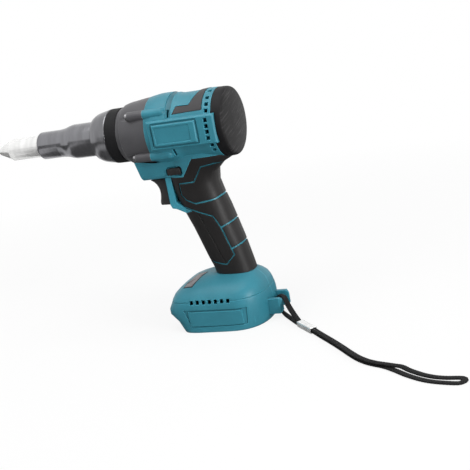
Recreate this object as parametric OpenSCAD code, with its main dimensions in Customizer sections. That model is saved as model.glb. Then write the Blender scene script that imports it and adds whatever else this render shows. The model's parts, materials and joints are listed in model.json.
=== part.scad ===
// Battery rivet tool: a pistol-grip power tool that pulls blind rivets.
// +X points to the rear (the nose is at -X), +Y to the right-hand shell and +Z up.
// The foot stands on z = 0, and the origin is under the middle of the tool's length.

/* [Stance] */
// Height of the barrel axis above the bottom of the foot
barrel_h = 181; // [176:0.5:190]
// Rear end of the motor housing, behind the reference line of the foot
setback = 22.6; // [20:0.2:26]

/* [Motor housing] */
// Length of the motor housing along the barrel
housing_l = 63.6; // [60:0.2:70]
// Body diameter of the motor housing
body_d = 63; // [61:0.5:68]
// Wall of the moulded shells
wall = 2.2; // [1.8:0.1:2.4]
// Length of the rear cap
cap_l = 12; // [10:0.5:18]
// Height of the raised side plate
plate_h = 25.4; // [22:0.2:28]
// Length of the pad on the side plate
pad_l = 41; // [34:0.5:42]
// Height of the pad on the side plate
pad_h = 18.8; // [14:0.2:20]
// Size of a square air vent
vent_size = 3.6; // [2.5:0.1:4]

/* [Gearbox and nose] */
// Length of the gearbox housing
case_l = 31.4; // [30:0.2:40]
// Diameter of the gearbox housing at its rear end
case_d = 60.8; // [58:0.2:64]
// Length of the lock ring
ring_l = 11.5; // [10:0.5:16]
// Diameter of the lock ring
ring_d = 49.4; // [46:0.2:50]
// Length of the collar nut
collar_l = 17.5; // [14:0.5:20]
// Diameter of the collar nut at its rear end
collar_d = 49.2; // [44:0.2:50]
// Visible length of the front sleeve
sleeve_l = 61.4; // [54:0.2:70]
// Diameter of the front sleeve at its front end
sleeve_d = 25.5; // [25:0.1:28]
// Diameter of the front sleeve behind its flare
sleeve_rear_d = 31.6; // [30:0.1:33]
// Length of the nosepiece in front of the sleeve
nose_l = 47.5; // [40:0.5:56]
// Diameter of the nosepiece
nose_d = 20.2; // [18:0.1:22]
// Diameter of the nosepiece at its tip
nose_tip_d = 7; // [6:0.1:9]
// Bore of the nosepiece, for the rivet's mandrel
mandrel_d = 3.2; // [2.4:0.1:4]
// Pulling stroke of the jaws
stroke = 20; // [12:0.5:21]

/* [Drive] */
// Module of the gears
gear_module = 0.85; // [0.8:0.01:0.88]
// Width of the gears
gear_w = 9; // [7:0.1:9.5]
// Diameter of the motor shaft
shaft_d = 5; // [4:0.1:5.4]
// Diameter of the drive screw
screw_d = 10; // [8:0.1:11]
// Room in the motor housing in front of the stator stack and behind it
motor_room = 27.6; // [25:0.2:34]

/* [Trigger] */
// Height of the trigger
trigger_h = 24.6; // [22:0.2:25]
// Width of the trigger
trigger_w = 16; // [13:0.2:18]
// Travel of the trigger
trigger_travel = 7; // [4:0.2:7.4]

/* [Grip] */
// Width of the grip
grip_w = 34.8; // [34:0.2:39]
// Depth of the grip, front to rear
grip_depth = 40; // [38:0.2:44]
// Thickness of the rubber on the grip
rubber_t = 1; // [0.8:0.1:1.4]
// Width of the lines between the rubber panels
line_w = 1.5; // [1:0.1:2]

/* [Foot] */
// Length of the foot
foot_l = 95.3; // [92:0.2:104]
// Width of the foot
foot_w = 74.4; // [70:0.2:80]
// Height of the foot, up to the grip
foot_h = 46.8; // [45:0.2:52]
// Width of the battery bay above its rails
bay_w = 58; // [54:0.2:60]
// Height of the battery bay
bay_h = 17; // [14:0.2:18]

/* [Strap] */
// Width of the flat wrist strap
strap_w = 5.4; // [4:0.1:6]
// Thickness of the strap
strap_t = 1.7; // [1.2:0.1:1.8]

/* [Hidden] */
$fn = 64;

// Overrun of every cut, and the fits that the pieces share
over = 1;
seat = 0.02;
run_fit = 0.05;
slide_fit = 0.08;
room = 0.3;

// Stations along the barrel, from the rear end to the tip
x_rear = setback;
x_case = x_rear - housing_l;
x_ring = x_case - case_l;
x_collar = x_ring - ring_l;
x_sleeve = x_collar - collar_l;
x_front = x_sleeve - sleeve_l;
x_tip = x_front - nose_l;
x_end = x_rear + cap_l;

// Motor housing
body_r = body_d / 2;
body_waist_share = 0.953;
body_shares = [
    [0, 0.967], [0.134, 0.976], [0.286, body_waist_share], [0.514, body_waist_share], [0.588, 0.984],
    [0.662, 1.014], [0.818, 1.018], [0.896, 1.006], [1, 0.975]
];
insert_t = 1;
bore_r = body_waist_share * body_r - wall - insert_t;
belt_at_share = 0.628;
belt_w = 5;
belt_depth = 0.7;
slot_w = 2;
slot_span = 14;
slot_angle = 33;
plate_reach = 1.0;
plate_front_share = 0.94;
plate_past = 3.7;
plate_bevel = 1.2;
pad_rise = 1.7;
pad_bevel = 0.8;
pad_at_share = 0.2145;
pad_frame = 1.6;
pad_frame_depth = 0.7;
pad_rim = 2.2;
pad_rear_rim = 5.6;
pad_face_depth = 0.5;
vent_at_share = 0.0634;
vent_angles = [72.5, 54, 41, 29.5, 14, 5, -4, -13, -29, -40];
insert_rise = 0.25;
insert_gap = 0.4;
insert_shares = [
    [0.575, 0.49], [0.527, 0.686], [0.336, 0.68], [0.228, 1.02], [0.128, 1.02], [0.123, 0.51]
];

// Rear cap
cap_shares = [
    [0, 0.965], [0.5, 0.96], [0.72, 0.94], [0.8, 0.905], [0.84, 0.86], [0.93, 0.6], [1, 0.25],
    [1.005, 0]
];
cap_spigot = 2;

// Gearbox housing and its screws
case_r = case_d / 2;
case_lip_shares = [[0, 0.8], [0.13, 0.835], [0.14, 0.85]];
case_shares = [[0.165, 0.885], [0.325, 0.925], [0.55, 0.953], [0.8, 0.985], [1, 1]];
boss_angle = 37.5;
boss_r = 4.2;
boss_sink = 1;
boss_reach = body_r - boss_sink;
boss_front = 15;
boss_rear = 17;
case_screw_r = 1.6;
case_screw_head_r = 3;
case_screw_head_h = 2.4;
case_screw_l = 26;

// Gear train, from the rear of the gearbox to the front
sun_teeth = 12;
planet_teeth = 18;
ring_teeth = sun_teeth + 2 * planet_teeth;
pressure_angle = 25;
tip_share = 0.8;
root_share = 1.1;
backlash = 0.06;
planet_count = 3;
orbit_r = gear_module * (sun_teeth + planet_teeth) / 2;
ring_rim = 3.4;
ring_gear_r = gear_module * ring_teeth / 2 + ring_rim;
plate_t = 4.3;
gear_gap = 1.3;
carrier_t = 4;
carrier_rim = 4;
pin_r = 2.4;
thrust_t = 1.8;
ball_w = 4.6;
x_plate = x_case - plate_t;
x_gear_rear = x_plate - gear_gap;
x_gear = x_gear_rear - gear_w;
x_carrier_rear = x_gear - room;
x_carrier = x_carrier_rear - carrier_t;
x_thrust = x_carrier - thrust_t - seat;
x_ball = x_thrust - ball_w - seat;
x_pocket = x_ball - seat;
ball_r = 14;
ball_bore_r = 6;
motor_ball_r = 8;
motor_ball_w = 5;

// Nose of the gearbox housing, collar and sleeve
nose_tube_r = 18;
flange_t = 3;
collar_lip = 4.2;
x_flange = x_sleeve + collar_lip;
x_nose_tube = x_flange + flange_t;
collar_shares = [[0, 0.79], [0.03, 0.815], [0.25, 0.895], [0.45, 0.932], [0.96, 1], [1, 0.985]];
ring_round = 0.8;
sleeve_r = sleeve_d / 2;
sleeve_rear_r = sleeve_rear_d / 2;
sleeve_shares = [[0.352, 0], [0.457, 0.28], [0.545, 0.78], [0.607, 1]];
sleeve_round = 2.2;

// Pulling head
draw_r = 10;
draw_home = 1;
tail_r = 8;
tail_l = 12;
x_shoulder = x_front + tail_l;
x_jaw_case = x_shoulder + draw_home;
jaw_case_l = 36;
x_jaw_rear = x_jaw_case + jaw_case_l;
jaw_mouth_r = 5.2;
jaw_case_lip = 1.5;
cone_angle = 10;
cone_l = 17;
cone_r = jaw_mouth_r + cone_l * tan(cone_angle);
jaw_l = 12.5;
jaw_gap = 0.8;
jaw_bite_r = 1.2;
jaw_set = 1.2;
pusher_r = 5.4;
pusher_t = 2;
pusher_tail_r = 3.2;
pusher_tail_l = 6;
pusher_bore_r = 2.2;
spigot_l = 7.5;
spigot_r = cone_r - seat;
key_w = 4.4;
key_r = 12.4;
x_nut_rear = x_pocket - draw_home - stroke;
key_l = x_nut_rear - x_nose_tube - room;
x_nut = x_jaw_rear - spigot_l;
screw_r = screw_d / 2;
screw_grip = 7.5;
x_screw = x_nut_rear - screw_grip;
spring_r = 4.6;
spring_wire_r = 0.5;
spring_turns = 5;
x_jaw = x_jaw_case + jaw_case_lip + jaw_set;
x_pusher = x_jaw + jaw_l + seat;
tail_tube_r = 4.4;
nose_cone_l = 15;
nose_round = 0.6;
mandrel_land = 14;
relief_r = 3;

// Motor
stator_r = bore_r - room;
stator_bore_r = 14;
yoke_share = 0.83;
tooth_count = 6;
tooth_w = 7;
rotor_r = 13.5;
coil_w = 13.4;
coil_end = 4;
coil_in_r = 15.4;
coil_out_r = 20.6;
stator_back = 17;
x_stator_rear = x_rear - stator_back;
stator_l = housing_l - motor_room;
x_stator = x_stator_rear - stator_l;
shaft_r = shaft_d / 2;
fan_l = 7;
fan_r = 24;
fan_hub_r = 6;
fan_blades = 9;
blade_t = 1.2;
fan_back = 5.5;
x_fan = x_rear - fan_back - fan_l;
rear_ball_past = 3.4;
x_rear_ball = x_rear - rear_ball_past + room;

// Trigger, guard and chin
chin_l = 23.2;
chin_rake = 5.7;
chin_drop = 41.4;
chin_top_share = 0.62;
chin_w = 36;
chin_past = 13;
chin_round = 5;
chin_gap = 1.4;
chin_slot_past = 3;
chin_slot_depth = 1.5;
z_chin = barrel_h - chin_drop;
trigger_gap = 1.6;
z_trigger = z_chin - trigger_gap - trigger_h;
guard_at_share = 0.95;
guard_w = 28.4;
guard_t = 5.7;
guard_shares = [
    [0, 0.05], [0.035, -0.085], [0.13, -0.118], [0.362, -0.31], [0.525, -0.228], [0.362, -0.126],
    [0.25, 0], [0.142, 0.14]
];
x_guard = -guard_at_share * grip_depth;
trigger_out = 18.2;
trigger_seat = 2.4;
x_trigger_back = x_guard + trigger_seat;
trigger_shares = [
    [1, 1], [0.794, 0.9], [0.649, 0.75], [0.58, 0.56], [0.606, 0.34], [0.674, 0.14], [0.657, 0.03]
];
plunger_r = 2.5;
plunger_l = 15;
switch_l = 21;
switch_w = 20;
switch_h = 21;
x_switch = x_trigger_back + trigger_travel + room;
z_switch = z_trigger + (trigger_h - switch_h) / 2;

// Direction selector, a push bar across the tool
selector_l = 12.8;
selector_h = 6.2;
selector_round = 1.6;
selector_proud = 1.4;
selector_at_share = 0.645;
selector_drop = 4;
x_selector = -selector_at_share * grip_depth;
z_selector = barrel_h - body_r - selector_drop;
selector_side_share = 1.05;
selector_side = selector_side_share * grip_w / 2;
selector_reach = selector_side + selector_proud;
selector_dish = 0.6;
well_gap = 1.5;
well_depth = 1.6;
web_past = 1.1;
web_lean = 11.8;
skirt_drop = 25.8;

// Grip: share of height, front and rear reach over the depth, half-width, and the curve's power
grip_rise = barrel_h - foot_h;
grip_shares = [
    [-0.05, -0.235, 0.67, 0.89], [0.045, -0.294, 0.617, 0.897], [0.113, -0.376, 0.577, 0.91],
    [0.218, -0.478, 0.508, 0.944], [0.33, -0.588, 0.42, 0.972], [0.449, -0.736, 0.325, 0.989],
    [0.534, -0.825, 0.237, 1], [0.62, -0.905, 0.172, 1.023], [0.696, -0.94, 0.211, 1.063],
    [0.736, -0.95, 0.36, 1.1], [0.754, -0.95, 0.49, 1.12], [0.771, -0.95, 0.61, 1.145],
    [0.8, -0.95, 0.7, 1.18], [0.866, -0.95, 0.72, 1.15]
];
grip_power = 2.6;
grip_steps = 16;
panel_lines_shares = [
    [[0.6, 0.733], [0.31, 0.753], [0, 0.745], [-0.235, 0.65], [-0.61, 0.647], [-0.61, 0.567],
     [-0.52, 0.532], [-0.31, 0.503], [0.135, 0.514], [0.6, 0.563]],
    [[-0.95, 0.516], [-0.47, 0.467], [0.035, 0.405], [0.17, 0.322], [0.35, 0.126], [0.135, 0.065],
     [-0.155, 0.082], [-0.6, 0.12]],
    [[0.17, 0.322], [0.8, 0.39]],
    [[0.32, 0.168], [0.9, 0.231]]
];
crease_shares = [[-0.275, 0.43], [0.115, 0.08]];
crease_w = 0.8;
crease_depth = 0.6;

// Foot: share of height, front and rear reach over the length, half-width, power at the front
foot_rear_share = 0.386;
foot_shares = [
    [0, -0.445, 0.372, 1.01, 7], [0.025, -0.455, 0.38, 1.006, 7], [0.21, -0.5, foot_rear_share, 0.997, 7],
    [0.37, -0.57, 0.392, 1, 7], [0.47, -0.57, 0.39, 1, 7], [0.56, -0.55, 0.383, 0.994, 6],
    [0.64, -0.533, 0.374, 0.971, 6], [0.72, -0.515, 0.365, 0.918, 5], [0.8, -0.47, 0.352, 0.825, 4.4],
    [0.88, -0.402, 0.32, 0.695, 3.8], [0.94, -0.325, 0.29, 0.555, 3.4], [0.98, -0.26, 0.268, 0.45, 3],
    [1, -0.2, 0.25, 0.39, 2.8]
];
foot_rear_power = 2.5;
foot_middle_share = 0.05;
foot_steps = 18;
foot_vents = 7;
foot_vent_pitch = 5.9;
foot_vent_h = 3.9;
foot_vent_at_share = 0.602;
foot_vent_mid_share = -0.1;
seam_w = 0.8;
seam_depth = 0.4;
panel_shares = [[-0.33, 0.425], [0.205, 0.41], [0.205, 0.133], [-0.33, 0.133]];
panel_frame_shares = [[-0.385, 0.46], [0.25, 0.44], [0.235, 0.111], [-0.32, 0.111]];
panel_rise = 0.5;
panel_depth = 0.8;
plate_outline_shares = [[-0.391, -0.607], [-0.31, -0.05], [-0.204, -0.153], [-0.295, -0.676]];
info_t = 0.5;
bay_rail_w = 3;
bay_rail_h = 4.5;
bay_rear_wall = 9;
x_bay_rear = foot_rear_share * foot_l - bay_rear_wall;
z_shelf = bay_h + wall;

// Strap ears and bar
ear_y = 9;
ear_t = 4;
ear_h = 14.2;
ear_z = 5.2;
ear_reach = 12.4;
ear_bevel = 2.5;
x_ear = foot_rear_share * foot_l + ear_reach;
bar_r = 2.2;
bar_down = 5.2;
bar_in = 5.8;
x_bar = x_ear - bar_in;
z_bar = ear_z + ear_h - bar_down;

// Screws that close the shells, as places across the tool: [x, z]
shell_screw_r = 1.5;
shell_screw_head_r = 2.9;
shell_screw_head_h = 2.2;
shell_boss_r = 4.4;
shell_screw_in = 9;
grip_screw_shares = [[0.15, 0.125], [0.06, 0.423]];
foot_screw_shares = [[-0.4, 0.667], [0.28, 0.667]];
selector_screw_past = 14;
shell_screws = concat(
    [for (s = grip_screw_shares) [s[0] * grip_depth, foot_h + s[1] * grip_rise]],
    [[x_selector + selector_screw_past, z_selector]],
    [for (s = foot_screw_shares) [s[0] * foot_l, s[1] * foot_h]]
);

// Terminal block, blades and control board in the foot
block_l = 24;
block_w = 30;
block_h = 11;
block_gap = 1;
x_block = x_bay_rear - block_gap - block_l;
blade_w = 7;
blade_thick = 1;
blade_l = 14;
blade_in = 6;
blade_pitch = 10;
board_l = 46;
board_w = 36;
board_t = 1.6;
post_h = 4;
post_r = 2.5;
board_at_share = 0.3;
x_board = -board_at_share * foot_l;

// Wiring through the handle, as shares of the grip
lead_r = 1.2;
lead_y = 4;
lead_stub = 2.4;
lead_clamp = 6.6;
battery_lead_shares = [[0.06, -0.057], [-0.07, 0.068], [-0.15, 0.212], [-0.25, 0.356]];
board_lead_share = 0.72;
switch_lead_share = 0.75;
motor_lead_share = 0.6;

// Tool's middle, from the tip of the nose to the strap ears
mid_x = (x_tip + x_ear) / 2;

// Strap routes: x, y, z and the heading of the band's width across the path, in degrees
eye_route = [
    [79.9, -43.85, 3.85, 43.2], [71.3, -34.7, 3.85, 43.2], [67, -29.2, 5.2, 40], [63.4, -24.7, 7.3, 39],
    [58.5, -18.5, 10.8, 38], [54, -12.5, 14.6, 42], [50.5, -6.5, 17.2, 54], [47, -1.5, 17.7, 74],
    [43.6, 1, 17.55, 88], [41.2, 1.3, 16.6, 90], [40.1, 1.2, 14.2, 90], [40.3, 1, 11, 90],
    [40.9, 0.8, 7.5, 90], [42.2, 0.2, 4, 88], [45, -1.6, 1.8, 80], [49, -6.5, 1.2, 60],
    [54.4, -13.3, 1.1, 46], [60.6, -21.1, 1.1, 39], [66.9, -29.2, 1.3, 40], [71.3, -34.7, 1.9, 43.2],
    [79.9, -43.85, 1.9, 43.2]
];
loop_route = [
    [79.9, -43.85, 1.9, 43.2], [88.5, -53, 1.9, 43.2], [99, -64.2, 1.15, 43], [111, -77.6, 1, 41],
    [123, -91.8, 1, 40], [133.5, -104.8, 1, 41], [142.5, -115, 1, 46], [151, -122.4, 1, 54],
    [158.5, -127, 1, 60], [164.5, -130, 1, 58], [170.5, -134, 1, 52], [178, -140.2, 1, 49],
    [186.5, -147.7, 1, 50], [197.5, -155.6, 1, 59], [207, -160.4, 1, 70], [217, -163.2, 1, 81],
    [225.8, -164.6, 1, 90], [229.2, -163.2, 1, 135], [230.5, -160, 1, 180], [229.2, -156.8, 1, 225],
    [225.8, -155.4, 1, 270], [217, -154.9, 1, 262], [208, -152.7, 1, 250], [199.5, -148.5, 1, 241],
    [193, -143.9, 1, 235], [187, -139.8, 1.4, 236], [181, -136.4, 2.9, 241], [175, -133.9, 3, 244],
    [168.5, -131.2, 3, 244], [164.5, -129.6, 3, 241], [158.5, -127, 3, 240], [151, -122.4, 3, 234],
    [142.5, -115, 3, 226], [133.5, -104.8, 3, 221], [123, -91.8, 3, 220], [111, -77.6, 3, 221],
    [99, -64.2, 3.15, 223], [88.5, -53, 3.85, 223.2], [79.9, -43.85, 3.85, 223.2]
];
ferrule_l = 25;
ferrule_wall = 0.7;
ferrule_gap = 0.1;
ferrule_round = 1.2;
ferrule_seam = 0.4;
strand_gap = 0.3;
ferrule_x = 79.9;
ferrule_y = -43.85;
ferrule_z = 2.9;
ferrule_heading = -46.8;
band_edge_share = 0.6;

// A smooth curve through points: n steps between each two
function curve_at(a, b, c, d, t) =
    (2 * b + (c - a) * t + (2 * a - 5 * b + 4 * c - d) * t * t + (3 * b - a - 3 * c + d) * t * t * t) / 2;
function curve(p, n) = [
    for (i = [0 : len(p) - 2], k = [0 : n - 1])
        curve_at(p[max(i - 1, 0)], p[i], p[i + 1], p[min(i + 2, len(p) - 1)], k / n),
    p[len(p) - 1]
];
function arc(c, r, a, b, n) = [
    for (i = [0 : n])
        let (t = a + (b - a) * i / n) c + r * [cos(t), sin(t)]
];
function signed_power(v, e) = sign(v) * pow(abs(v), e);

// Half of a closed section on the -Y side, from the front of the mid-plane round to the rear.
// A section that cuts runs on past the mid-plane, by past.
function half_ring(z, xf, xr, hw, xm, pf, pr, steps, past) = concat(
    past > 0 ? [[xf, past, z]] : [],
    [
        for (i = [0 : steps])
            let (
                a = 180 - 180 * i / steps,
                p = 2 / (a > 90 ? pf : pr),
                y = i == 0 || i == steps ? 0 : -hw * pow(sin(a), p)
            )
            [xm + (a > 90 ? xm - xf : xr - xm) * signed_power(cos(a), p), y, z]
    ],
    past > 0 ? [[xr, past, z]] : []
);

// A solid skinned over half sections, closed along the mid-plane
module skin(rings) {
    n = len(rings[0]);
    m = len(rings);
    sides = [
        for (j = [0 : m - 2], i = [0 : n - 2])
            each [
                [j * n + i, (j + 1) * n + i + 1, j * n + i + 1],
                [j * n + i, (j + 1) * n + i, (j + 1) * n + i + 1]
            ]
    ];
    middle = [
        for (j = [0 : m - 2])
            each [
                [j * n, (j + 1) * n + n - 1, (j + 1) * n],
                [j * n, j * n + n - 1, (j + 1) * n + n - 1]
            ]
    ];
    floor_face = [for (i = [0 : n - 1]) i];
    top_face = [for (i = [n - 1 : -1 : 0]) (m - 1) * n + i];
    polyhedron([for (r = rings, p = r) p], concat(sides, middle, [floor_face, top_face]));
}

// Grip on the -Y side, drawn in by inset all round
module grip_half(inset, past = 0) {
    skin([
        for (s = grip_shares)
            half_ring(
                foot_h + s[0] * grip_rise, s[1] * grip_depth + inset, s[2] * grip_depth - inset,
                s[3] * grip_w / 2 - inset, (s[1] + s[2]) * grip_depth / 2, grip_power, grip_power,
                grip_steps, past
            )
    ]);
}

// Foot on the -Y side, drawn in by inset all round
module foot_half(inset, past = 0) {
    skin([
        for (s = foot_shares)
            half_ring(
                s[0] * foot_h, s[1] * foot_l + inset, s[2] * foot_l - inset, s[3] * foot_w / 2 - inset,
                foot_middle_share * foot_l, s[4], foot_rear_power, foot_steps, past
            )
    ]);
}

// Shapes along the barrel axis
module on_axis(x) translate([x, 0, barrel_h]) rotate([0, 90, 0]) children();
module rod(r, x0, x1) on_axis(x0) cylinder(r = r, h = x1 - x0);
module tube(r_out, r_in, x0, x1) {
    difference() {
        rod(r_out, x0, x1);
        rod(r_in, x0 - over, x1 + over);
    }
}
module lathe(profile) on_axis(0) rotate_extrude() polygon(profile);
module half_lathe(profile) on_axis(0) rotate([0, 0, 180]) rotate_extrude(angle = 180) polygon(profile);

// A side-view outline [x, z] pushed from y0 to y1
module side_prism(outline, y0, y1) {
    translate([0, y1, 0]) rotate([90, 0, 0]) linear_extrude(y1 - y0) polygon(outline);
}

// A block by its two corners
module block(a, b) translate(a) cube(b - a);

// A crossing rod along Y
module cross_rod(r, x, z, y0, y1) translate([x, y1, z]) rotate([90, 0, 0]) cylinder(r = r, h = y1 - y0);

// Turns children to an angle round the barrel on the -Y side, 0 being level
module at_angle(a) translate([0, 0, barrel_h]) rotate([-a, 0, 0]) children();

// A straight ribbon of a given width along an outline of points
function side_step(p, i) =
    let (
        a = p[max(i - 1, 0)],
        b = p[min(i + 1, len(p) - 1)],
        d = (b - a) / norm(b - a)
    ) [-d[1], d[0]];
function ribbon(p, w) = concat(
    [for (i = [0 : len(p) - 1]) p[i] + side_step(p, i) * w / 2],
    [for (i = [len(p) - 1 : -1 : 0]) p[i] - side_step(p, i) * w / 2]
);

// Profiles of the barrel, [radius, x]
function body_profile(grow) = concat(
    [[0, x_rear]],
    [for (s = curve(body_shares, 2)) [s[1] * body_r + grow, x_rear - s[0] * housing_l]],
    [[0, x_case]]
);
function case_profile(grow) = concat(
    [[0, x_ring]],
    [for (s = concat(case_lip_shares, curve(case_shares, 3))) [s[1] * case_r + grow, x_ring + s[0] * case_l]],
    [[0, x_case]]
);

// Outline of the black insert on the upper side of the housing
function insert_outline() = [
    for (s = insert_shares) [x_rear - s[0] * housing_l, barrel_h + s[1] * body_r]
];

module bosses(r, x0, x1, sides) {
    for (s = sides, t = [-1, 1])
        translate([x0, s * boss_reach * cos(boss_angle), barrel_h + t * boss_reach * sin(boss_angle)])
            rotate([0, 90, 0]) cylinder(r = r, h = x1 - x0);
}

// Raised plate on the side of the housing, with a bevel all round
module side_plate() {
    y_out = body_r + plate_reach;
    x0 = x_rear - plate_front_share * housing_l;
    x1 = x_rear + plate_past;
    z0 = barrel_h - plate_h / 2;
    z1 = barrel_h + plate_h / 2;
    intersection() {
        side_prism([[x0, z0], [x1, z0], [x1, z1], [x0, z1]], -y_out, -bore_r);
        translate([0, 0, z0]) linear_extrude(plate_h)
            polygon([
                [x0, -bore_r], [x0, plate_bevel - y_out], [x0 + plate_bevel, -y_out],
                [x1 - plate_bevel, -y_out], [x1, plate_bevel - y_out], [x1, -bore_r]
            ]);
        translate([x0, 0, 0]) rotate([90, 0, 90]) linear_extrude(x1 - x0)
            polygon([
                [-bore_r, z0], [plate_bevel - y_out, z0], [-y_out, z0 + plate_bevel],
                [-y_out, z1 - plate_bevel], [plate_bevel - y_out, z1], [-bore_r, z1]
            ]);
    }
}

// Recess round the pad, and the pad itself
module pad_recess() {
    y_out = body_r + plate_reach;
    x1 = x_rear - pad_at_share * housing_l + pad_frame;
    block(
        [x1 - pad_l - 2 * pad_frame, -y_out - over, barrel_h - pad_h / 2 - pad_frame],
        [x1, pad_frame_depth - y_out, barrel_h + pad_h / 2 + pad_frame]
    );
}
module pad() {
    y_in = -body_r;
    y_out = -body_r - plate_reach - pad_rise;
    x1 = x_rear - pad_at_share * housing_l;
    x0 = x1 - pad_l;
    z0 = barrel_h - pad_h / 2;
    difference() {
        pad_block(x0, x1, y_in, y_out, z0);
        block(
            [x0 + pad_rim, y_out - over, z0 + pad_rim],
            [x1 - pad_rear_rim, y_out + pad_face_depth, z0 + pad_h - pad_rim]
        );
    }
}
module pad_block(x0, x1, y_in, y_out, z0) {
    intersection() {
        translate([0, 0, z0]) linear_extrude(pad_h)
            polygon([
                [x0, y_in], [x0, y_out + pad_bevel], [x0 + pad_bevel, y_out],
                [x1 - pad_bevel, y_out], [x1, y_out + pad_bevel], [x1, y_in]
            ]);
        translate([x0, 0, barrel_h]) rotate([90, 0, 90]) linear_extrude(pad_l)
            polygon([
                [y_in, -pad_h / 2], [y_out + pad_bevel, -pad_h / 2], [y_out, pad_bevel - pad_h / 2],
                [y_out, pad_h / 2 - pad_bevel], [y_out + pad_bevel, pad_h / 2], [y_in, pad_h / 2]
            ]);
    }
}

// Chin under the gearbox, in front of the trigger, on the -Y side
module chin_half() {
    z_top = barrel_h - chin_top_share * body_r;
    x0 = x_case - chin_l;
    x1 = x_guard + chin_past;
    intersection() {
        side_prism([[x0, z_top], [x0 + chin_rake, z_chin], [x1, z_chin], [x1, z_top]], -chin_w / 2, 0);
        translate([x0, 0, 0]) rotate([90, 0, 90]) linear_extrude(x1 - x0)
            polygon(concat(
                [[0, z_top], [-chin_w / 2, z_top]],
                arc([chin_round - chin_w / 2, z_chin + chin_round], chin_round, 180, 270, 6),
                [[0, z_chin]]
            ));
    }
}

// Gap between the chin and the gearbox above it, which runs on as a groove under the housing
module chin_slot() {
    z1 = barrel_h - sqrt(pow(case_r, 2) - pow(chin_w / 2, 2));
    intersection() {
        lathe(case_profile(chin_gap));
        block([x_ring, -body_d, 0], [x_case, over, barrel_h]);
    }
    block(
        [x_case - over, -body_d, z1 - chin_gap],
        [x_case + chin_slot_past, chin_slot_depth - chin_w / 2, z1]
    );
}

// Part of the grip round the selector and under the housing, where the shell has no rubber over it
module selector_web() {
    x0 = x_case - chin_l;
    x1 = x_selector + selector_l / 2 + web_past;
    z1 = barrel_h - skirt_drop;
    side_prism(
        [[x0, z_chin], [x1, z_chin], [x1 + web_lean, z1], [x_end, z1], [x_end, barrel_h], [x0, barrel_h]],
        -body_r, over
    );
}

// Guard strip behind the trigger, with the tail that runs back into the lines of the grip
function guard_outline() = concat(
    [[x_guard + guard_t, z_chin + over], [x_guard, z_chin + over]],
    [for (s = guard_shares) [x_guard + s[0] * grip_depth, z_trigger + s[1] * trigger_h]]
);
module guard_prism() side_prism(guard_outline(), -grip_w, over);
module guard_half() side_prism(guard_outline(), -guard_w / 2, 0);

// Ear for the strap bar, on the -Y side
module ear() {
    z1 = ear_z + ear_h;
    x0 = x_bay_rear + over;
    x1 = x_ear - ear_bevel;
    y_out = -ear_y - ear_t;
    difference() {
        intersection() {
            side_prism(
                [[x0, z1], [x1, z1], [x_ear, z1 - ear_bevel],
                 [x_ear, ear_z + ear_bevel], [x1, ear_z], [x0, ear_z]],
                y_out, -ear_y
            );
            translate([0, 0, ear_z]) linear_extrude(ear_h)
                polygon([[x0, -ear_y], [x0, y_out], [x1, y_out], [x_ear, y_out + ear_bevel], [x_ear, -ear_y]]);
        }
        cross_rod(bar_r, x_bar, z_bar, -ear_y - ear_t / 2, over - ear_y);
    }
}

// Windows and ribs inside the shells
module trigger_window() {
    block(
        [x_guard - over, -trigger_w / 2 - room, z_trigger - room],
        [x_switch, over, z_trigger + trigger_h + room]
    );
}
module selector_bar(grow, y0, y1) {
    translate([x_selector, y1, z_selector]) rotate([90, 0, 0]) linear_extrude(y1 - y0)
        rounded(selector_l + 2 * grow, selector_h + 2 * grow, selector_round + grow, $fn = 24);
}
module selector_window() {
    selector_bar(slide_fit, -body_r, over);
    selector_bar(well_gap, -body_r, well_depth - selector_side);
}
module switch_pocket() {
    block(
        [x_switch - room, -switch_w / 2 - room, z_switch - seat],
        [x_switch + switch_l + room, over, z_switch + switch_h + seat]
    );
}
module switch_ribs() {
    for (z = [z_switch - seat - wall, z_switch + switch_h + seat])
        block(
            [x_switch + over, -grip_w, z],
            [x_switch + switch_l - over, -switch_w / 3, z + wall]
        );
}
module shell_bosses() {
    for (p = shell_screws) cross_rod(shell_boss_r, p[0], p[1], -foot_w, 2 * over);
}
module board_posts() {
    for (x = [x_board + 2 * post_r, x_board + board_l - 2 * post_r])
        translate([x, 2 * post_r - board_w / 2, z_shelf - over]) cylinder(r = post_r, h = post_h + over);
}

// Hollow of the grip and of the foot above the battery bay
module hollows() {
    difference() {
        union() {
            grip_half(rubber_t + wall, over);
            intersection() {
                foot_half(wall, over);
                block([-foot_l, -foot_w, z_shelf], [foot_l, 2 * over, foot_h]);
            }
        }
        shell_bosses();
        switch_ribs();
        board_posts();
    }
}

// Battery bay: an open channel with a rail along each side
module bay() {
    block([-foot_l, -bay_w / 2, bay_rail_h], [x_bay_rear, over, bay_h]);
    block([-foot_l, bay_rail_w - bay_w / 2, -over], [x_bay_rear, over, bay_rail_h + over]);
}

// Conformal raised panel and its recess on the side of the foot
function foot_outline(shares) = [for (s = shares) [s[0] * foot_l, s[1] * foot_h]];
module panel_recess() {
    difference() {
        side_prism(foot_outline(panel_frame_shares), -foot_w, -bay_w / 2 - over);
        foot_half(panel_depth, over);
    }
}
module foot_panel() {
    intersection() {
        side_prism(foot_outline(panel_shares), -foot_w, -bay_w / 2 - over);
        foot_half(-panel_rise);
    }
}

// Moulded step round the foot, at the height of its vents
module foot_seam() {
    z0 = foot_vent_at_share * foot_h - seam_w / 2;
    difference() {
        block([-foot_l, -foot_w, z0], [foot_l, over, z0 + seam_w]);
        foot_half(seam_depth, over);
    }
}

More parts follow.
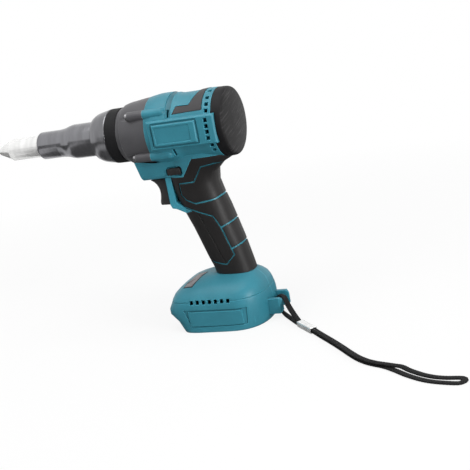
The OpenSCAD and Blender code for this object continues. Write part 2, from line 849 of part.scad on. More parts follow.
// One moulded shell, on the -Y side
module shell_half(left) {
    difference() {
        union() {
            difference() {
                union() {
                    half_lathe(body_profile(0));
                    side_plate();
                    bosses(boss_r, x_case, x_case + boss_rear, [-1]);
                    bosses_round();
                }
                pad_recess();
                belt_cut();
                insert_cut();
                vents();
            }
            pad();
            chin_half();
            guard_half();
            grip_half(rubber_t);
            intersection() {
                grip_half(0);
                union() {
                    selector_web();
                    guard_prism();
                }
            }
            difference() {
                foot_half(0);
                panel_recess();
                foot_vent_cuts();
                foot_seam();
                if (left) info_cut();
            }
            foot_panel();
            ear();
        }
        rod(bore_r, x_case - over, x_rear + over);
        lathe(case_clear());
        chin_slot();
        bosses(case_screw_r, x_case - over, x_case + boss_rear - wall, [-1]);
        hollows();
        bay();
        trigger_window();
        switch_pocket();
        selector_window();
        cap_cut();
    }
}
module bosses_round() {
    for (t = [-1, 1])
        translate([
            x_case + boss_rear, -boss_reach * cos(boss_angle), barrel_h + t * boss_reach * sin(boss_angle)
        ]) sphere(r = boss_r);
}
function case_clear() = concat(
    [[0, x_ring - over]],
    [for (s = concat(case_lip_shares, curve(case_shares, 3))) [s[1] * case_r + seat, x_ring + s[0] * case_l]],
    [[0, x_case]]
);
module belt_cut() {
    x0 = x_rear - belt_at_share * housing_l - belt_w / 2;
    difference() {
        block([x0, -body_d, barrel_h + plate_h / 2], [x0 + belt_w, over, barrel_h + body_d]);
        lathe(body_profile(-belt_depth));
    }
    for (a = [slot_angle, -slot_angle]) at_angle(a)
        block(
            [x0 + belt_w / 2 - slot_w / 2, -body_d, -body_r * sin(slot_span / 2)],
            [x0 + belt_w / 2 + slot_w / 2, wall - bore_r, body_r * sin(slot_span / 2)]
        );
}
module vents() {
    x0 = x_rear - vent_at_share * housing_l - vent_size / 2;
    for (a = vent_angles) at_angle(a)
        block([x0, -body_d, -vent_size / 2], [x0 + vent_size, wall - bore_r, vent_size / 2]);
}
module insert_cut() {
    difference() {
        side_prism(insert_outline(), -body_d, over);
        lathe(body_profile(-insert_t));
    }
}
module foot_vent_cuts() {
    for (i = [0 : foot_vents - 1])
        translate([
            foot_vent_mid_share * foot_l + (i - (foot_vents - 1) / 2) * foot_vent_pitch,
            -foot_w / 2, foot_vent_at_share * foot_h
        ]) cube([vent_size, foot_w / 4, foot_vent_h], center = true);
}
function info_outline() = [for (s = plate_outline_shares) [s[0] * foot_l, s[1] * foot_w / 2]];
module info_prism() {
    translate([0, 0, z_shelf + wall]) linear_extrude(foot_h) polygon(info_outline());
}
module info_cut() {
    difference() {
        info_prism();
        foot_half(info_t, over);
    }
}
module cap_cut() {
    rod(body_shares[0][1] * body_r + room, x_rear, x_end + over);
}

// Left and right shells: the screws enter from the right
module shell_holes(left) {
    for (p = shell_screws) {
        if (left) cross_rod(shell_screw_r, p[0], p[1], -shell_screw_in, over);
        else {
            cross_rod(shell_screw_r + run_fit, p[0], p[1], -foot_w, over);
            head_hole(p);
        }
    }
}
module head_hole(p) cross_rod(shell_screw_head_r + room, p[0], p[1], -foot_w, -shell_screw_in);
module housing_left() color("#1f6f7a") difference() {
    shell_half(true);
    shell_holes(true);
}
module housing_right() color("#1f6f7a") mirror([0, 1, 0]) difference() {
    shell_half(false);
    shell_holes(false);
}

// Rubber panels over one side of the grip, parted by the lines of the shell between them
function line_places(p) = [for (s = p) [s[0] * grip_depth, foot_h + s[1] * grip_rise]];
module grip_panels(left) {
    difference() {
        grip_half(0);
        grip_half(rubber_t, over);
        half_lathe(body_profile(seat));
        lathe(case_clear());
        cap_cut();
        guard_prism();
        guard_half();
        foot_half(-seat, over);
        selector_web();
        chin_half();
        trigger_window();
        for (p = panel_lines_shares) side_prism(ribbon(line_places(p), line_w), -grip_w, over);
        crease();
        selector_window();
        if (!left)
            for (p = shell_screws) head_hole(p);
    }
}
module crease() {
    difference() {
        side_prism(ribbon(line_places(crease_shares), crease_w), -grip_w, over);
        grip_half(crease_depth, over);
    }
}
module grip_left() color("#2b2a2a") grip_panels(true);
module grip_right() color("#2b2a2a") mirror([0, 1, 0]) grip_panels(false);

// Black insert let into the upper side of the housing
module side_insert() {
    intersection() {
        rotate([90, 0, 0]) linear_extrude(body_d) offset(delta = -insert_gap) polygon(insert_outline());
        difference() {
            half_lathe(body_profile(insert_rise));
            lathe(body_profile(-insert_t));
        }
    }
}
module insert_left() color("#242424") side_insert();
module insert_right() color("#242424") mirror([0, 1, 0]) side_insert();

// Rear cap: a cup with a spigot in the housing and a seat for the rear bearing
function cap_profile(inset) =
    let (x0 = x_rear - (inset > 0 ? over : 0))
    concat(
        [[0, x0], [cap_shares[0][1] * body_r - inset, x0]],
        [for (s = curve(cap_shares, 3)) [max(0, s[1] * body_r - inset), x_rear + s[0] * cap_l - inset]],
        [[0, x_rear + cap_l - inset]]
    );
module rear_cap() color("#262626") {
    difference() {
        lathe(cap_profile(0));
        lathe(cap_profile(wall));
    }
    tube(bore_r - room, bore_r - room - wall, x_rear - cap_spigot, x_rear + wall);
    tube(motor_ball_r + wall, motor_ball_r + seat, x_rear_ball, x_end - 2 * wall);
    rod(motor_ball_r + wall, x_rear_ball + motor_ball_w, x_end - wall);
    tube(cap_shares[0][1] * body_r - over, bore_r - room - wall, x_rear, x_rear + wall);
}

// Gearbox housing with its screw bosses and the tube that carries the nose
module gearbox_case() color("#3c3d3f") {
    difference() {
        union() {
            lathe(case_profile(0));
            rod(nose_tube_r, x_nose_tube, x_ring + over);
            bosses(boss_r, x_case - boss_front, x_case, [-1, 1]);
        }
        rod(draw_r + slide_fit, x_nose_tube - over, x_pocket + over);
        block(
            [x_nose_tube - over, -key_r - room, barrel_h - key_w / 2 - slide_fit],
            [x_pocket - seat, key_r + room, barrel_h + key_w / 2 + slide_fit]
        );
        rod(ball_r + seat, x_pocket, x_carrier + over);
        rod(ring_gear_r + seat, x_carrier - room, x_case + over);
        bosses(case_screw_r + run_fit, x_case - boss_front - over, x_case + over, [-1, 1]);
        bosses(case_screw_head_r + room, x_ring - over, x_case - boss_front, [-1, 1]);
    }
}
module gearbox_screws() color("#9fa3a6") {
    x0 = x_case - boss_front;
    difference() {
        bosses(case_screw_head_r, x0 - case_screw_head_h, x0, [-1, 1]);
        bosses(case_screw_head_r / 2, x0 - case_screw_head_h - over, x0 - case_screw_head_h / 2, [-1, 1]);
    }
    bosses(case_screw_r - seat, x0 - seat, x0 + case_screw_l, [-1, 1]);
}
module housing_screws() color("#55585a") {
    for (p = shell_screws) {
        cross_rod(shell_screw_r - seat, p[0], p[1], over - shell_screw_in, shell_screw_in + seat);
        difference() {
            cross_rod(shell_screw_head_r, p[0], p[1], shell_screw_in, shell_screw_in + shell_screw_head_h);
            cross_rod(
                shell_screw_head_r / 2, p[0], p[1],
                shell_screw_in + shell_screw_head_h / 2, shell_screw_in + shell_screw_head_h + over
            );
        }
    }
}

// Nose: lock ring, collar nut, sleeve and nosepiece
module lock_ring() color("#1d1d1e") difference() {
    lathe([
        [0, x_collar], [ring_d / 2 - ring_round, x_collar], [ring_d / 2, x_collar + ring_round],
        [ring_d / 2, x_ring - ring_round], [ring_d / 2 - ring_round, x_ring], [0, x_ring]
    ]);
    rod(nose_tube_r + seat, x_collar - over, x_ring + over);
}
module collar_nut() color("#4a4b4e") difference() {
    lathe(concat(
        [[0, x_sleeve]],
        [for (s = collar_shares) [s[1] * collar_d / 2, x_sleeve + s[0] * collar_l]],
        [[0, x_collar]]
    ));
    rod(sleeve_rear_r + seat, x_sleeve - over, x_collar);
    rod(nose_tube_r + seat, x_flange - seat, x_collar + over);
}
module front_sleeve() color("#4e5052") difference() {
    lathe(concat(
        [[0, x_front]],
        arc([sleeve_r - sleeve_round, x_front + sleeve_round], sleeve_round, -90, 0, 6),
        [
            for (s = curve(sleeve_shares, 3))
                [sleeve_r + s[1] * (sleeve_rear_r - sleeve_r), x_front + s[0] * sleeve_l]
        ],
        [[sleeve_rear_r, x_flange], [nose_tube_r, x_flange], [nose_tube_r, x_nose_tube], [0, x_nose_tube]]
    ));
    rod(tail_r + seat, x_front - over, x_shoulder + over);
    rod(draw_r + slide_fit, x_shoulder, x_nose_tube + over);
}
module nosepiece() color("#d9dadb") difference() {
    lathe([
        [0, x_tip], [nose_tip_d / 2 - nose_round, x_tip], [nose_tip_d / 2, x_tip + nose_round],
        [nose_d / 2 - nose_round, x_tip + nose_cone_l - nose_round], [nose_d / 2, x_tip + nose_cone_l],
        [nose_d / 2, x_front], [tail_r, x_front], [tail_r, x_shoulder - room],
        [tail_tube_r, x_shoulder - room], [tail_tube_r, x_jaw - room], [0, x_jaw - room]
    ]);
    rod(mandrel_d / 2, x_tip - over, x_tip + mandrel_land + over);
    rod(relief_r, x_tip + mandrel_land, x_shoulder - tail_l / 2);
    rod(pusher_bore_r, x_shoulder - tail_l, x_jaw + over);
}

// Pulling head: jaws in their conical case, pusher, spring and the nut that draws them back
module jaw_case() color("#8d9093") difference() {
    rod(draw_r, x_jaw_case, x_jaw_rear);
    rod(jaw_mouth_r, x_jaw_case - over, x_jaw_case + jaw_case_lip + over);
    on_axis(x_jaw_case + jaw_case_lip) cylinder(r1 = jaw_mouth_r, r2 = cone_r, h = cone_l);
    rod(cone_r, x_jaw_case + jaw_case_lip + cone_l, x_jaw_rear + over);
}
module jaw(k) color("#73777a") {
    third = 60;
    mid_r = jaw_gap / 2 / sin(third);
    difference() {
        intersection() {
            on_axis(x_jaw_case + jaw_case_lip)
                cylinder(r1 = jaw_mouth_r - run_fit, r2 = cone_r - run_fit, h = cone_l);
            on_axis(x_jaw) rotate([0, 0, 120 * k]) translate([mid_r, 0, 0]) linear_extrude(jaw_l)
                polygon([[0, 0], draw_r * [1, -tan(third)], draw_r * [1, tan(third)]]);
        }
        rod(jaw_bite_r, x_jaw - over, x_jaw + jaw_l + over);
    }
}
module jaw_1() jaw(0);
module jaw_2() jaw(1);
module jaw_3() jaw(2);
module jaw_pusher() color("#8d9093") difference() {
    union() {
        rod(pusher_r, x_pusher, x_pusher + pusher_t);
        rod(pusher_tail_r, x_pusher, x_pusher + pusher_t + pusher_tail_l);
    }
    rod(pusher_bore_r, x_pusher - over, x_pusher + pusher_t + pusher_tail_l + over);
}
module jaw_spring() color("#b5b8ba") {
    x0 = x_pusher + pusher_t + spring_wire_r + seat;
    run = x_nut - spring_wire_r - seat - x0;
    steps = 8 * spring_turns;
    translate([x0, 0, barrel_h])
        tube_along(
            [
                for (i = [0 : steps])
                    let (a = 360 * spring_turns * i / steps)
                    [run * i / steps, spring_r * cos(a), spring_r * sin(a)]
            ],
            spring_wire_r, 6, [1, 0, 0]
        );
}
module draw_nut() color("#85888b") difference() {
    union() {
        rod(spigot_r, x_nut, x_jaw_rear + over);
        rod(draw_r, x_jaw_rear, x_nut_rear);
        intersection() {
            rod(key_r, x_nut_rear - key_l, x_nut_rear);
            block(
                [x_nut_rear - key_l, -key_r, barrel_h - key_w / 2],
                [x_nut_rear, key_r, barrel_h + key_w / 2]
            );
        }
    }
    rod(screw_r + run_fit, x_screw - stroke - over, x_nut_rear + over);
    rod(pusher_tail_r + room, x_nut - over, x_screw - stroke);
}
module drive_screw() color("#9a9da0") {
    rod(screw_r, x_screw, x_carrier_rear - seat);
    rod(ball_bore_r - run_fit, x_ball, x_carrier - seat);
}

// Planet gears between the sun on the motor shaft and the fixed ring
function involute(a) = tan(a) * 180 / PI - a;
function polar(r, a) = r * [cos(a), sin(a)];
function flank(r, teeth, slack) =
    let (pitch_r = gear_module * teeth / 2)
    90 / teeth - slack / pitch_r * 180 / PI + involute(pressure_angle)
        - involute(acos(min(1, pitch_r * cos(pressure_angle) / r)));
function gear_outline(teeth, tip, root, slack) =
    let (
        pitch_r = gear_module * teeth / 2,
        tip_r = pitch_r + tip * gear_module,
        root_r = pitch_r - root * gear_module,
        start_r = max(root_r, pitch_r * cos(pressure_angle)),
        steps = 4,
        radii = [for (k = [0 : steps]) start_r + (tip_r - start_r) * k / steps],
        feet = root_r < start_r ? [root_r] : []
    ) [
        for (i = [0 : teeth - 1])
            let (mid = 360 * i / teeth)
            each concat(
                [for (r = feet) polar(r, mid - flank(start_r, teeth, slack))],
                [for (r = radii) polar(r, mid - flank(r, teeth, slack))],
                [for (k = [steps : -1 : 0]) polar(radii[k], mid + flank(radii[k], teeth, slack))],
                [for (r = feet) polar(r, mid + flank(start_r, teeth, slack))]
            )
    ];
module planet_gear(k) color("#a3a6a8") on_axis(x_gear) rotate([0, 0, 120 * k]) translate([orbit_r, 0, 0])
    rotate([0, 0, 180 + 180 / planet_teeth]) linear_extrude(gear_w) difference() {
        polygon(gear_outline(planet_teeth, tip_share, root_share, backlash));
        circle(r = pin_r + run_fit);
    }
module planet_gear_1() planet_gear(0);
module planet_gear_2() planet_gear(1);
module planet_gear_3() planet_gear(2);
module sun_gear() color("#b4b6b8") on_axis(x_gear + room) linear_extrude(gear_w - room) difference() {
    polygon(gear_outline(sun_teeth, tip_share, root_share, backlash));
    circle(r = shaft_r + seat);
}
module ring_gear() color("#7d8083") on_axis(x_gear) linear_extrude(gear_w) difference() {
    circle(r = ring_gear_r);
    rotate([0, 0, 180 / ring_teeth])
        polygon(gear_outline(ring_teeth, root_share, tip_share, -backlash));
}
module planet_carrier() color("#8f9295") {
    difference() {
        rod(orbit_r + carrier_rim, x_carrier, x_carrier_rear);
        rod(screw_r + seat, x_carrier - over, x_carrier_rear + over);
    }
    for (k = [0 : planet_count - 1])
        on_axis(x_carrier_rear - over) rotate([0, 0, 360 * k / planet_count]) translate([orbit_r, 0, 0])
            cylinder(r = pin_r, h = gear_w + room + over);
}

// Bearings: sealed rings with a shield let into each face
module ball_ring(r_out, r_in, x0, w) {
    rim = (r_out - r_in) / 5;
    shield = w / 12;
    difference() {
        tube(r_out, r_in, x0, x0 + w);
        tube(r_out - rim, r_in + rim, x0 - over, x0 + shield);
        tube(r_out - rim, r_in + rim, x0 + w - shield, x0 + w + over);
    }
}
module thrust_bearing() color("#b9bcbf") tube(ball_r, ball_bore_r + seat, x_thrust, x_carrier - seat);
module screw_bearing() color("#b9bcbf") ball_ring(ball_r, ball_bore_r, x_ball, ball_w);
module motor_ball(x0) color("#b9bcbf") ball_ring(motor_ball_r, shaft_r + run_fit, x0, motor_ball_w);
module front_bearing() motor_ball(x_plate);
module rear_bearing() motor_ball(x_rear_ball);
module gear_plate() color("#a9abad") tube(ring_gear_r, motor_ball_r + seat, x_plate, x_case);

// Motor
module motor_shaft() color("#c3c5c7") rod(shaft_r, x_gear + room, x_rear_ball + motor_ball_w);
module rotor_core() color("#6f7072") tube(rotor_r, shaft_r + seat, x_stator, x_stator_rear);
module stator_core() color("#77797b") on_axis(x_stator) linear_extrude(stator_l) difference() {
    union() {
        difference() {
            circle(r = stator_r);
            circle(r = yoke_share * stator_r);
        }
        for (i = [0 : tooth_count - 1]) rotate(360 * i / tooth_count) {
            translate([0, -tooth_w / 2]) square([(stator_r + yoke_share * stator_r) / 2, tooth_w]);
        }
    }
    circle(r = stator_bore_r);
}
module stator_coils() color("#b06a3a") for (i = [0 : tooth_count - 1])
    on_axis(x_stator) rotate([0, 0, 360 * i / tooth_count]) difference() {
        block([coil_in_r, -coil_w / 2, -coil_end], [coil_out_r, coil_w / 2, stator_l + coil_end]);
        block(
            [coil_in_r - over, -tooth_w / 2 - seat, -seat],
            [coil_out_r + over, tooth_w / 2 + seat, stator_l + seat]
        );
    }
module cooling_fan() color("#303234") difference() {
    union() {
        rod(fan_r, x_fan, x_fan + blade_t);
        rod(fan_hub_r, x_fan, x_fan + fan_l);
        for (i = [0 : fan_blades - 1]) on_axis(x_fan) rotate([0, 0, 360 * i / fan_blades])
            block([fan_hub_r / 2, -blade_t / 2, 0], [fan_r - over, blade_t / 2, fan_l]);
    }
    rod(shaft_r + seat, x_fan - over, x_fan + fan_l + over);
}

// Trigger, switch and selector
function trigger_front() = [
    for (s = curve(trigger_shares, 3)) [x_guard - s[0] * trigger_out, z_trigger + s[1] * trigger_h]
];
module trigger() color("#2a2a2b") {
    side_prism(
        concat(trigger_front(), [[x_trigger_back, z_trigger], [x_trigger_back, z_trigger + trigger_h]]),
        -trigger_w / 2, trigger_w / 2
    );
    translate([x_trigger_back - over, 0, z_trigger + trigger_h / 2]) rotate([0, 90, 0])
        cylinder(r = plunger_r, h = plunger_l + over);
}
module switch_body() color("#343536") difference() {
    block([x_switch, -switch_w / 2, z_switch], [x_switch + switch_l, switch_w / 2, z_switch + switch_h]);
    translate([x_switch - over, 0, z_trigger + trigger_h / 2]) rotate([0, 90, 0])
        cylinder(r = plunger_r + run_fit, h = plunger_l + over);
}
module selector() color("#232323") difference() {
    selector_bar(0, -selector_reach, selector_reach);
    for (s = [-1, 1])
        translate([x_selector, s * (selector_reach + selector_l - selector_dish), z_selector - selector_h])
            cylinder(r = selector_l, h = 2 * selector_h);
}

// Electrics in the foot and the leads through the grip
module control_board() color("#2f6b3d") {
    z0 = z_shelf + post_h;
    block([x_board, -board_w / 2, z0], [x_board + board_l, board_w / 2, z0 + board_t]);
    block(
        [x_board + board_l / 8, -board_w / 3, z0 + board_t],
        [x_board + board_l / 3, board_w / 3, z0 + board_t + post_h]
    );
}
module terminal_block() color("#1e1e1f") difference() {
    block([x_block, -block_w / 2, bay_h - block_h], [x_block + block_l, block_w / 2, bay_h]);
    blades(seat);
}
module blades(grow) {
    for (i = [-1 : 1])
        block(
            [x_block - blade_l + blade_in - grow, i * blade_pitch - blade_thick / 2 - grow,
             bay_h - block_h / 2 - blade_w / 2 - grow],
            [x_block + blade_in + grow, i * blade_pitch + blade_thick / 2 + grow,
             bay_h - block_h / 2 + blade_w / 2 + grow]
        );
}
module terminal_blades() color("#c59a4a") blades(0);
function battery_route() =
    let (
        x0 = x_board + board_lead_share * board_l,
        z0 = z_shelf + post_h + board_t,
        x1 = x_switch + switch_lead_share * switch_l,
        in_grip = [for (p = battery_lead_shares) [p[0] * grip_depth, foot_h + p[1] * grip_rise]],
        top = [[x1, z_switch - lead_clamp], [x1, z_switch - lead_stub]]
    )
    concat(
        [[x0, z0 + seat]], curve(concat([[x0, z0 + lead_stub]], in_grip, top), 3), [[x1, z_switch - seat]]
    );
function motor_route() =
    let (
        x0 = x_switch + switch_l,
        z0 = z_switch + motor_lead_share * switch_h,
        x1 = x_stator_rear + coil_end / 2,
        z1 = barrel_h - coil_out_r
    )
    concat(
        [[x0 + seat, z0]],
        curve(
            [
                [x0 + lead_stub, z0], [x_stator_rear - 4 * lead_r, z_switch + switch_h],
                [x_stator_rear - lead_r, z_selector], [x1, barrel_h - bore_r], [x1, z1 - lead_stub]
            ], 3
        ),
        [[x1, z1 - seat]]
    );
module lead(route, y) {
    tube_along([for (p = route) [p[0], y, p[1]]], lead_r, 8, [0, 1, 0]);
}
module battery_leads() color("#a83232") for (s = [-1, 1]) lead(battery_route(), s * lead_y);
module motor_leads() color("#d0b040") for (s = [-1 : 1]) lead(motor_route(), s * lead_y);

// A round tube along points; the sections keep clear of the side vector
function heading_at(p, i) =
    let (d = p[min(i + 1, len(p) - 1)] - p[max(i - 1, 0)]) d / norm(d);
module sweep(rings) {
    n = len(rings[0]);
    m = len(rings);
    polyhedron(
        [for (r = rings, p = r) p],
        concat(
            [
                for (j = [0 : m - 2], i = [0 : n - 1])
                    each [
                        [j * n + i, (j + 1) * n + (i + 1) % n, j * n + (i + 1) % n],
                        [j * n + i, (j + 1) * n + i, (j + 1) * n + (i + 1) % n]
                    ]
            ],
            [[for (i = [0 : n - 1]) i], [for (i = [n - 1 : -1 : 0]) (m - 1) * n + i]]
        )
    );
}
module tube_along(p, r, sides, side) {
    sweep([
        for (i = [0 : len(p) - 1])
            let (
                t = heading_at(p, i),
                u = cross(t, side) / norm(cross(t, side)),
                v = cross(t, u)
            )
            [for (k = [0 : sides - 1]) p[i] + r * (cos(360 * k / sides) * u + sin(360 * k / sides) * v)]
    ]);
}

// Bare dark plate on the left shoulder of the foot
module info_plate() color("#1f2021") intersection() {
    info_prism();
    difference() {
        foot_half(0);
        foot_half(info_t, over);
    }
}

// Wrist strap: a flat band round the bar and in a long loop, both ends in a ferrule
module band(route) {
    sweep([
        for (i = [0 : len(route) - 1])
            let (
                places = [for (q = route) [q[0], q[1], q[2]]],
                w = [cos(route[i][3]), sin(route[i][3]), 0],
                t = heading_at(places, i),
                n = cross(t, w) / norm(cross(t, w)),
                a = strap_w / 2,
                b = strap_t / 2,
                e = band_edge_share * b,
                half = [[a, -e], [a, e], [a - e, b], [e - a, b]]
            )
            [for (c = concat(half, -half)) places[i] + c[0] * w + c[1] * n]
    ]);
}
module strap_eye() color("#1b1b1c") band(eye_route);
module strap_loop() color("#1b1b1c") band(loop_route);
module strap_bar() color("#1f6f7a") {
    half = ear_y + ear_t / 2 - seat;
    cross_rod(bar_r - seat, x_bar, z_bar, -half, half);
}
module strap_ferrule() color("#c9cbcd") {
    inner_w = strap_w + 2 * ferrule_gap;
    inner_h = 2 * strap_t + strand_gap + 2 * ferrule_gap;
    translate([ferrule_x, ferrule_y, ferrule_z]) rotate([0, 90, ferrule_heading])
        linear_extrude(ferrule_l, center = true) difference() {
            rounded(inner_h + 2 * ferrule_wall, inner_w + 2 * ferrule_wall, ferrule_round);
            square([inner_h, inner_w], center = true);
            for (s = [-1, 1]) translate([-inner_h / 4, s * (inner_w / 2 + ferrule_wall)])
                square([ferrule_seam, ferrule_wall], center = true);
        }
}
module rounded(w, h, r) {
    square([w - 2 * r, h], center = true);
    square([w, h - 2 * r], center = true);
    for (x = [-1, 1], y = [-1, 1]) translate([x * (w / 2 - r), y * (h / 2 - r)]) circle(r = r);
}

// Moves every node so that the origin lies under the middle of the tool
module place() translate([-mid_x, 0, 0]) children();

place() housing_left();
place() housing_right();
place() grip_left();
place() grip_right();
place() insert_left();
place() insert_right();
place() rear_cap();
place() gearbox_case();
place() gearbox_screws();
place() housing_screws();
place() lock_ring();
place() collar_nut();
place() front_sleeve();
place() nosepiece();
place() jaw_case();
place() jaw_1();
place() jaw_2();
place() jaw_3();
place() jaw_pusher();
place() jaw_spring();
place() draw_nut();
place() drive_screw();
place() planet_carrier();
place() planet_gear_1();
place() planet_gear_2();
place() planet_gear_3();
place() ring_gear();
place() sun_gear();
place() thrust_bearing();
place() screw_bearing();
place() gear_plate();
place() front_bearing();
place() rear_bearing();
place() motor_shaft();
place() rotor_core();
place() stator_core();
place() stator_coils();
place() cooling_fan();
place() trigger();
place() switch_body();
place() selector();
place() control_board();
place() terminal_block();
place() terminal_blades();
place() battery_leads();
place() motor_leads();
place() info_plate();
place() strap_bar();
place() strap_eye();
place() strap_loop();
place() strap_ferrule();
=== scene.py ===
"""Looks of a battery rivet tool: its finishes, braided wrist strap, studio light and camera."""

import json
import math

import bmesh
import bpy
import numpy as np
from mathutils import Matrix, Vector

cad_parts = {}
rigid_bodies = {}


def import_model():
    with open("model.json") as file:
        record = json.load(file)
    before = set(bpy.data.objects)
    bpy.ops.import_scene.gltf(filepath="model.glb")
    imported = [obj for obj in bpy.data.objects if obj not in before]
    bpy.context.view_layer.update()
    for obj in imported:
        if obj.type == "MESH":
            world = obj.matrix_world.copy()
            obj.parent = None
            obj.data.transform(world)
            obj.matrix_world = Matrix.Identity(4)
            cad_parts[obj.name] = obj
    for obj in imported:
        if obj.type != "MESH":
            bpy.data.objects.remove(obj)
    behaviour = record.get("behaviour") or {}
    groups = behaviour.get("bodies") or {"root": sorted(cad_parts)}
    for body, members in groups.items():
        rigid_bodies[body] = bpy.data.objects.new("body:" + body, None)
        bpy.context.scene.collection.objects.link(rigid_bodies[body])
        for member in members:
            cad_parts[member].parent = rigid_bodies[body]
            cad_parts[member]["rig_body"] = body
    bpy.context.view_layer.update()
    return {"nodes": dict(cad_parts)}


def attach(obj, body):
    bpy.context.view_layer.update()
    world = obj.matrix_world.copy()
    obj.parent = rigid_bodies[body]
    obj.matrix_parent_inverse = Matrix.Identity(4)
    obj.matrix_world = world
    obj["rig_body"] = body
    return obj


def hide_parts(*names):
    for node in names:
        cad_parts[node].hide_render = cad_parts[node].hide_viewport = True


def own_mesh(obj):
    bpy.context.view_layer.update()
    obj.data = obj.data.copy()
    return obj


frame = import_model()
nodes = frame["nodes"]

MM = 0.001

# Camera, solved from the photograph: 470 pixels across, 1040 pixels to the lens
CAMERA_PLACE = (0.44742, -0.8360, 0.30424)
CAMERA_FORWARD = (-0.37912474, 0.89316193, -0.2419219)
CAMERA_UP = (0.08365515, 0.29345137, 0.95230673)
CAMERA_LENS = 79.66
CAMERA_SENSOR = 36.0
CAMERA_NEAREST = 0.01
CAMERA_FARTHEST = 20


def make_camera():
    """The camera at the photograph's viewing angle."""
    data = bpy.data.cameras.new("camera")
    data.sensor_fit = "HORIZONTAL"
    data.sensor_width = CAMERA_SENSOR
    data.lens = CAMERA_LENS
    data.clip_start = CAMERA_NEAREST
    data.clip_end = CAMERA_FARTHEST
    camera = bpy.data.objects.new("camera", data)
    back = -Vector(CAMERA_FORWARD).normalized()
    right = Vector(CAMERA_UP).cross(back).normalized()
    up = back.cross(right)
    turn = Matrix((right, up, back)).transposed().to_4x4()
    camera.matrix_world = Matrix.Translation(CAMERA_PLACE) @ turn
    bpy.context.scene.collection.objects.link(camera)
    bpy.context.scene.camera = camera


# How many rays look for an edge or a corner, and how far a normal turns at a faint and at a full edge
EDGE_SAMPLES = 6
EDGE_FAINT = 0.995
EDGE_FULL = 0.8


class Finish:
    """A material and short calls that add its nodes."""

    def __init__(self, name):
        self.material = bpy.data.materials.new(name)
        self.material.use_nodes = True
        self.tree = self.material.node_tree
        self.shader = self.tree.nodes["Principled BSDF"]
        self.tint = None

    def add(self, kind, inputs=(), **settings):
        """A node with its settings, whose inputs are plain values or other nodes' outputs."""
        made = self.tree.nodes.new(kind)
        for key, value in settings.items():
            setattr(made, key, value)
        for key, value in dict(inputs).items():
            self.feed(made.inputs[key], value)
        return made

    def feed(self, socket, value):
        if isinstance(value, bpy.types.NodeSocket):
            self.tree.links.new(value, socket)
        else:
            socket.default_value = value

    def set(self, **values):
        """Sockets of the main shader, by name with _ for a blank."""
        for key, value in values.items():
            self.feed(self.shader.inputs[key.replace("_", " ")], value)

    def show(self, surface):
        """Another surface in place of the main shader."""
        self.tree.links.new(surface, self.tree.nodes["Material Output"].inputs["Surface"])
        self.tree.nodes.remove(self.shader)

    def place(self, stretch=(1, 1, 1), turn=(0, 0, 0)):
        """Places on the object in metres, turned and then stretched along its axes."""
        place = self.add("ShaderNodeTexCoord").outputs["Object"]
        inputs = {"Vector": place, "Rotation": turn}
        turned_place = self.add("ShaderNodeMapping", inputs).outputs[0]
        return self.add("ShaderNodeMapping", {"Vector": turned_place, "Scale": stretch}).outputs[0]

    def noise(self, scale, detail, stretch=(1, 1, 1), turn=(0, 0, 0)):
        inputs = {"Vector": self.place(stretch, turn), "Scale": scale, "Detail": detail}
        return self.add("ShaderNodeTexNoise", inputs).outputs["Fac"]

    def math(self, operation, a, b=0.0, c=0.0):
        return self.add("ShaderNodeMath", {0: a, 1: b, 2: c}, operation=operation).outputs[0]

    def span(self, value, low, high, to_low, to_high):
        """A value from low to high, carried to another span and held at its ends."""
        limits = {"From Min": low, "From Max": high, "To Min": to_low, "To Max": to_high}
        return self.add("ShaderNodeMapRange", {"Value": value, **limits}).outputs[0]

    def between(self, value, places):
        """1 between the second and third place, 0 outside the first and last, and ramps between."""
        starts = self.span(value, *places[:2], 0.0, 1.0)
        ends = self.span(value, *places[2:], 1.0, 0.0)
        return self.math("MULTIPLY", starts, ends)

    def mix(self, share, a, b):
        made = self.add("ShaderNodeMix", data_type="RGBA")
        self.feed(made.inputs["Factor"], share)
        self.feed(made.inputs["A"], a)
        self.feed(made.inputs["B"], b)
        return made.outputs["Result"]

    def parts(self, vector):
        """The x, y and z of a vector."""
        return self.add("ShaderNodeSeparateXYZ", {0: vector}).outputs

    def flat_normal(self):
        return self.add("ShaderNodeNewGeometry").outputs["Normal"]

    def bump(self, height, strength, distance, normal):
        inputs = {"Height": height, "Strength": strength, "Distance": distance, "Normal": normal}
        return self.add("ShaderNodeBump", inputs).outputs[0]

    def rounded(self, radius):
        """The surface's normal with its edges rounded off, and how much of an edge a point is."""
        soft = self.add("ShaderNodeBevel", {"Radius": radius}, samples=EDGE_SAMPLES).outputs[0]
        inputs = {0: soft, 1: self.flat_normal()}
        facing = self.add("ShaderNodeVectorMath", inputs, operation="DOT_PRODUCT").outputs["Value"]
        return soft, self.span(facing, EDGE_FAINT, EDGE_FULL, 0.0, 1.0)

    def open_share(self, distance):
        """1 in the open and less inside a corner or groove."""
        inputs = {"Distance": distance}
        return self.add("ShaderNodeAmbientOcclusion", inputs, samples=EDGE_SAMPLES).outputs["AO"]


def rgb(r, g, b):
    return (r, g, b, 1.0)


def shade(colour, gain):
    """A colour made lighter or darker."""
    return rgb(*[min(1.0, gain * c) for c in colour[:3]])


# Moulded pieces: their clouds and specks of colour, corners painted darker as shade, uneven gloss and
# height of grain
CLOUD_SCALE = 45
CLOUD_SHARE = 0.6
CLOUD_GAIN = 0.8
SPECK_SCALE = 900
CORNER_SHADE_GAIN = 0.3
CORNER_SHUT = 0.2
CORNER_OPEN = 0.9
GLOSS_SPREAD = 0.05
GRAIN_HEIGHT = 0.2 * MM

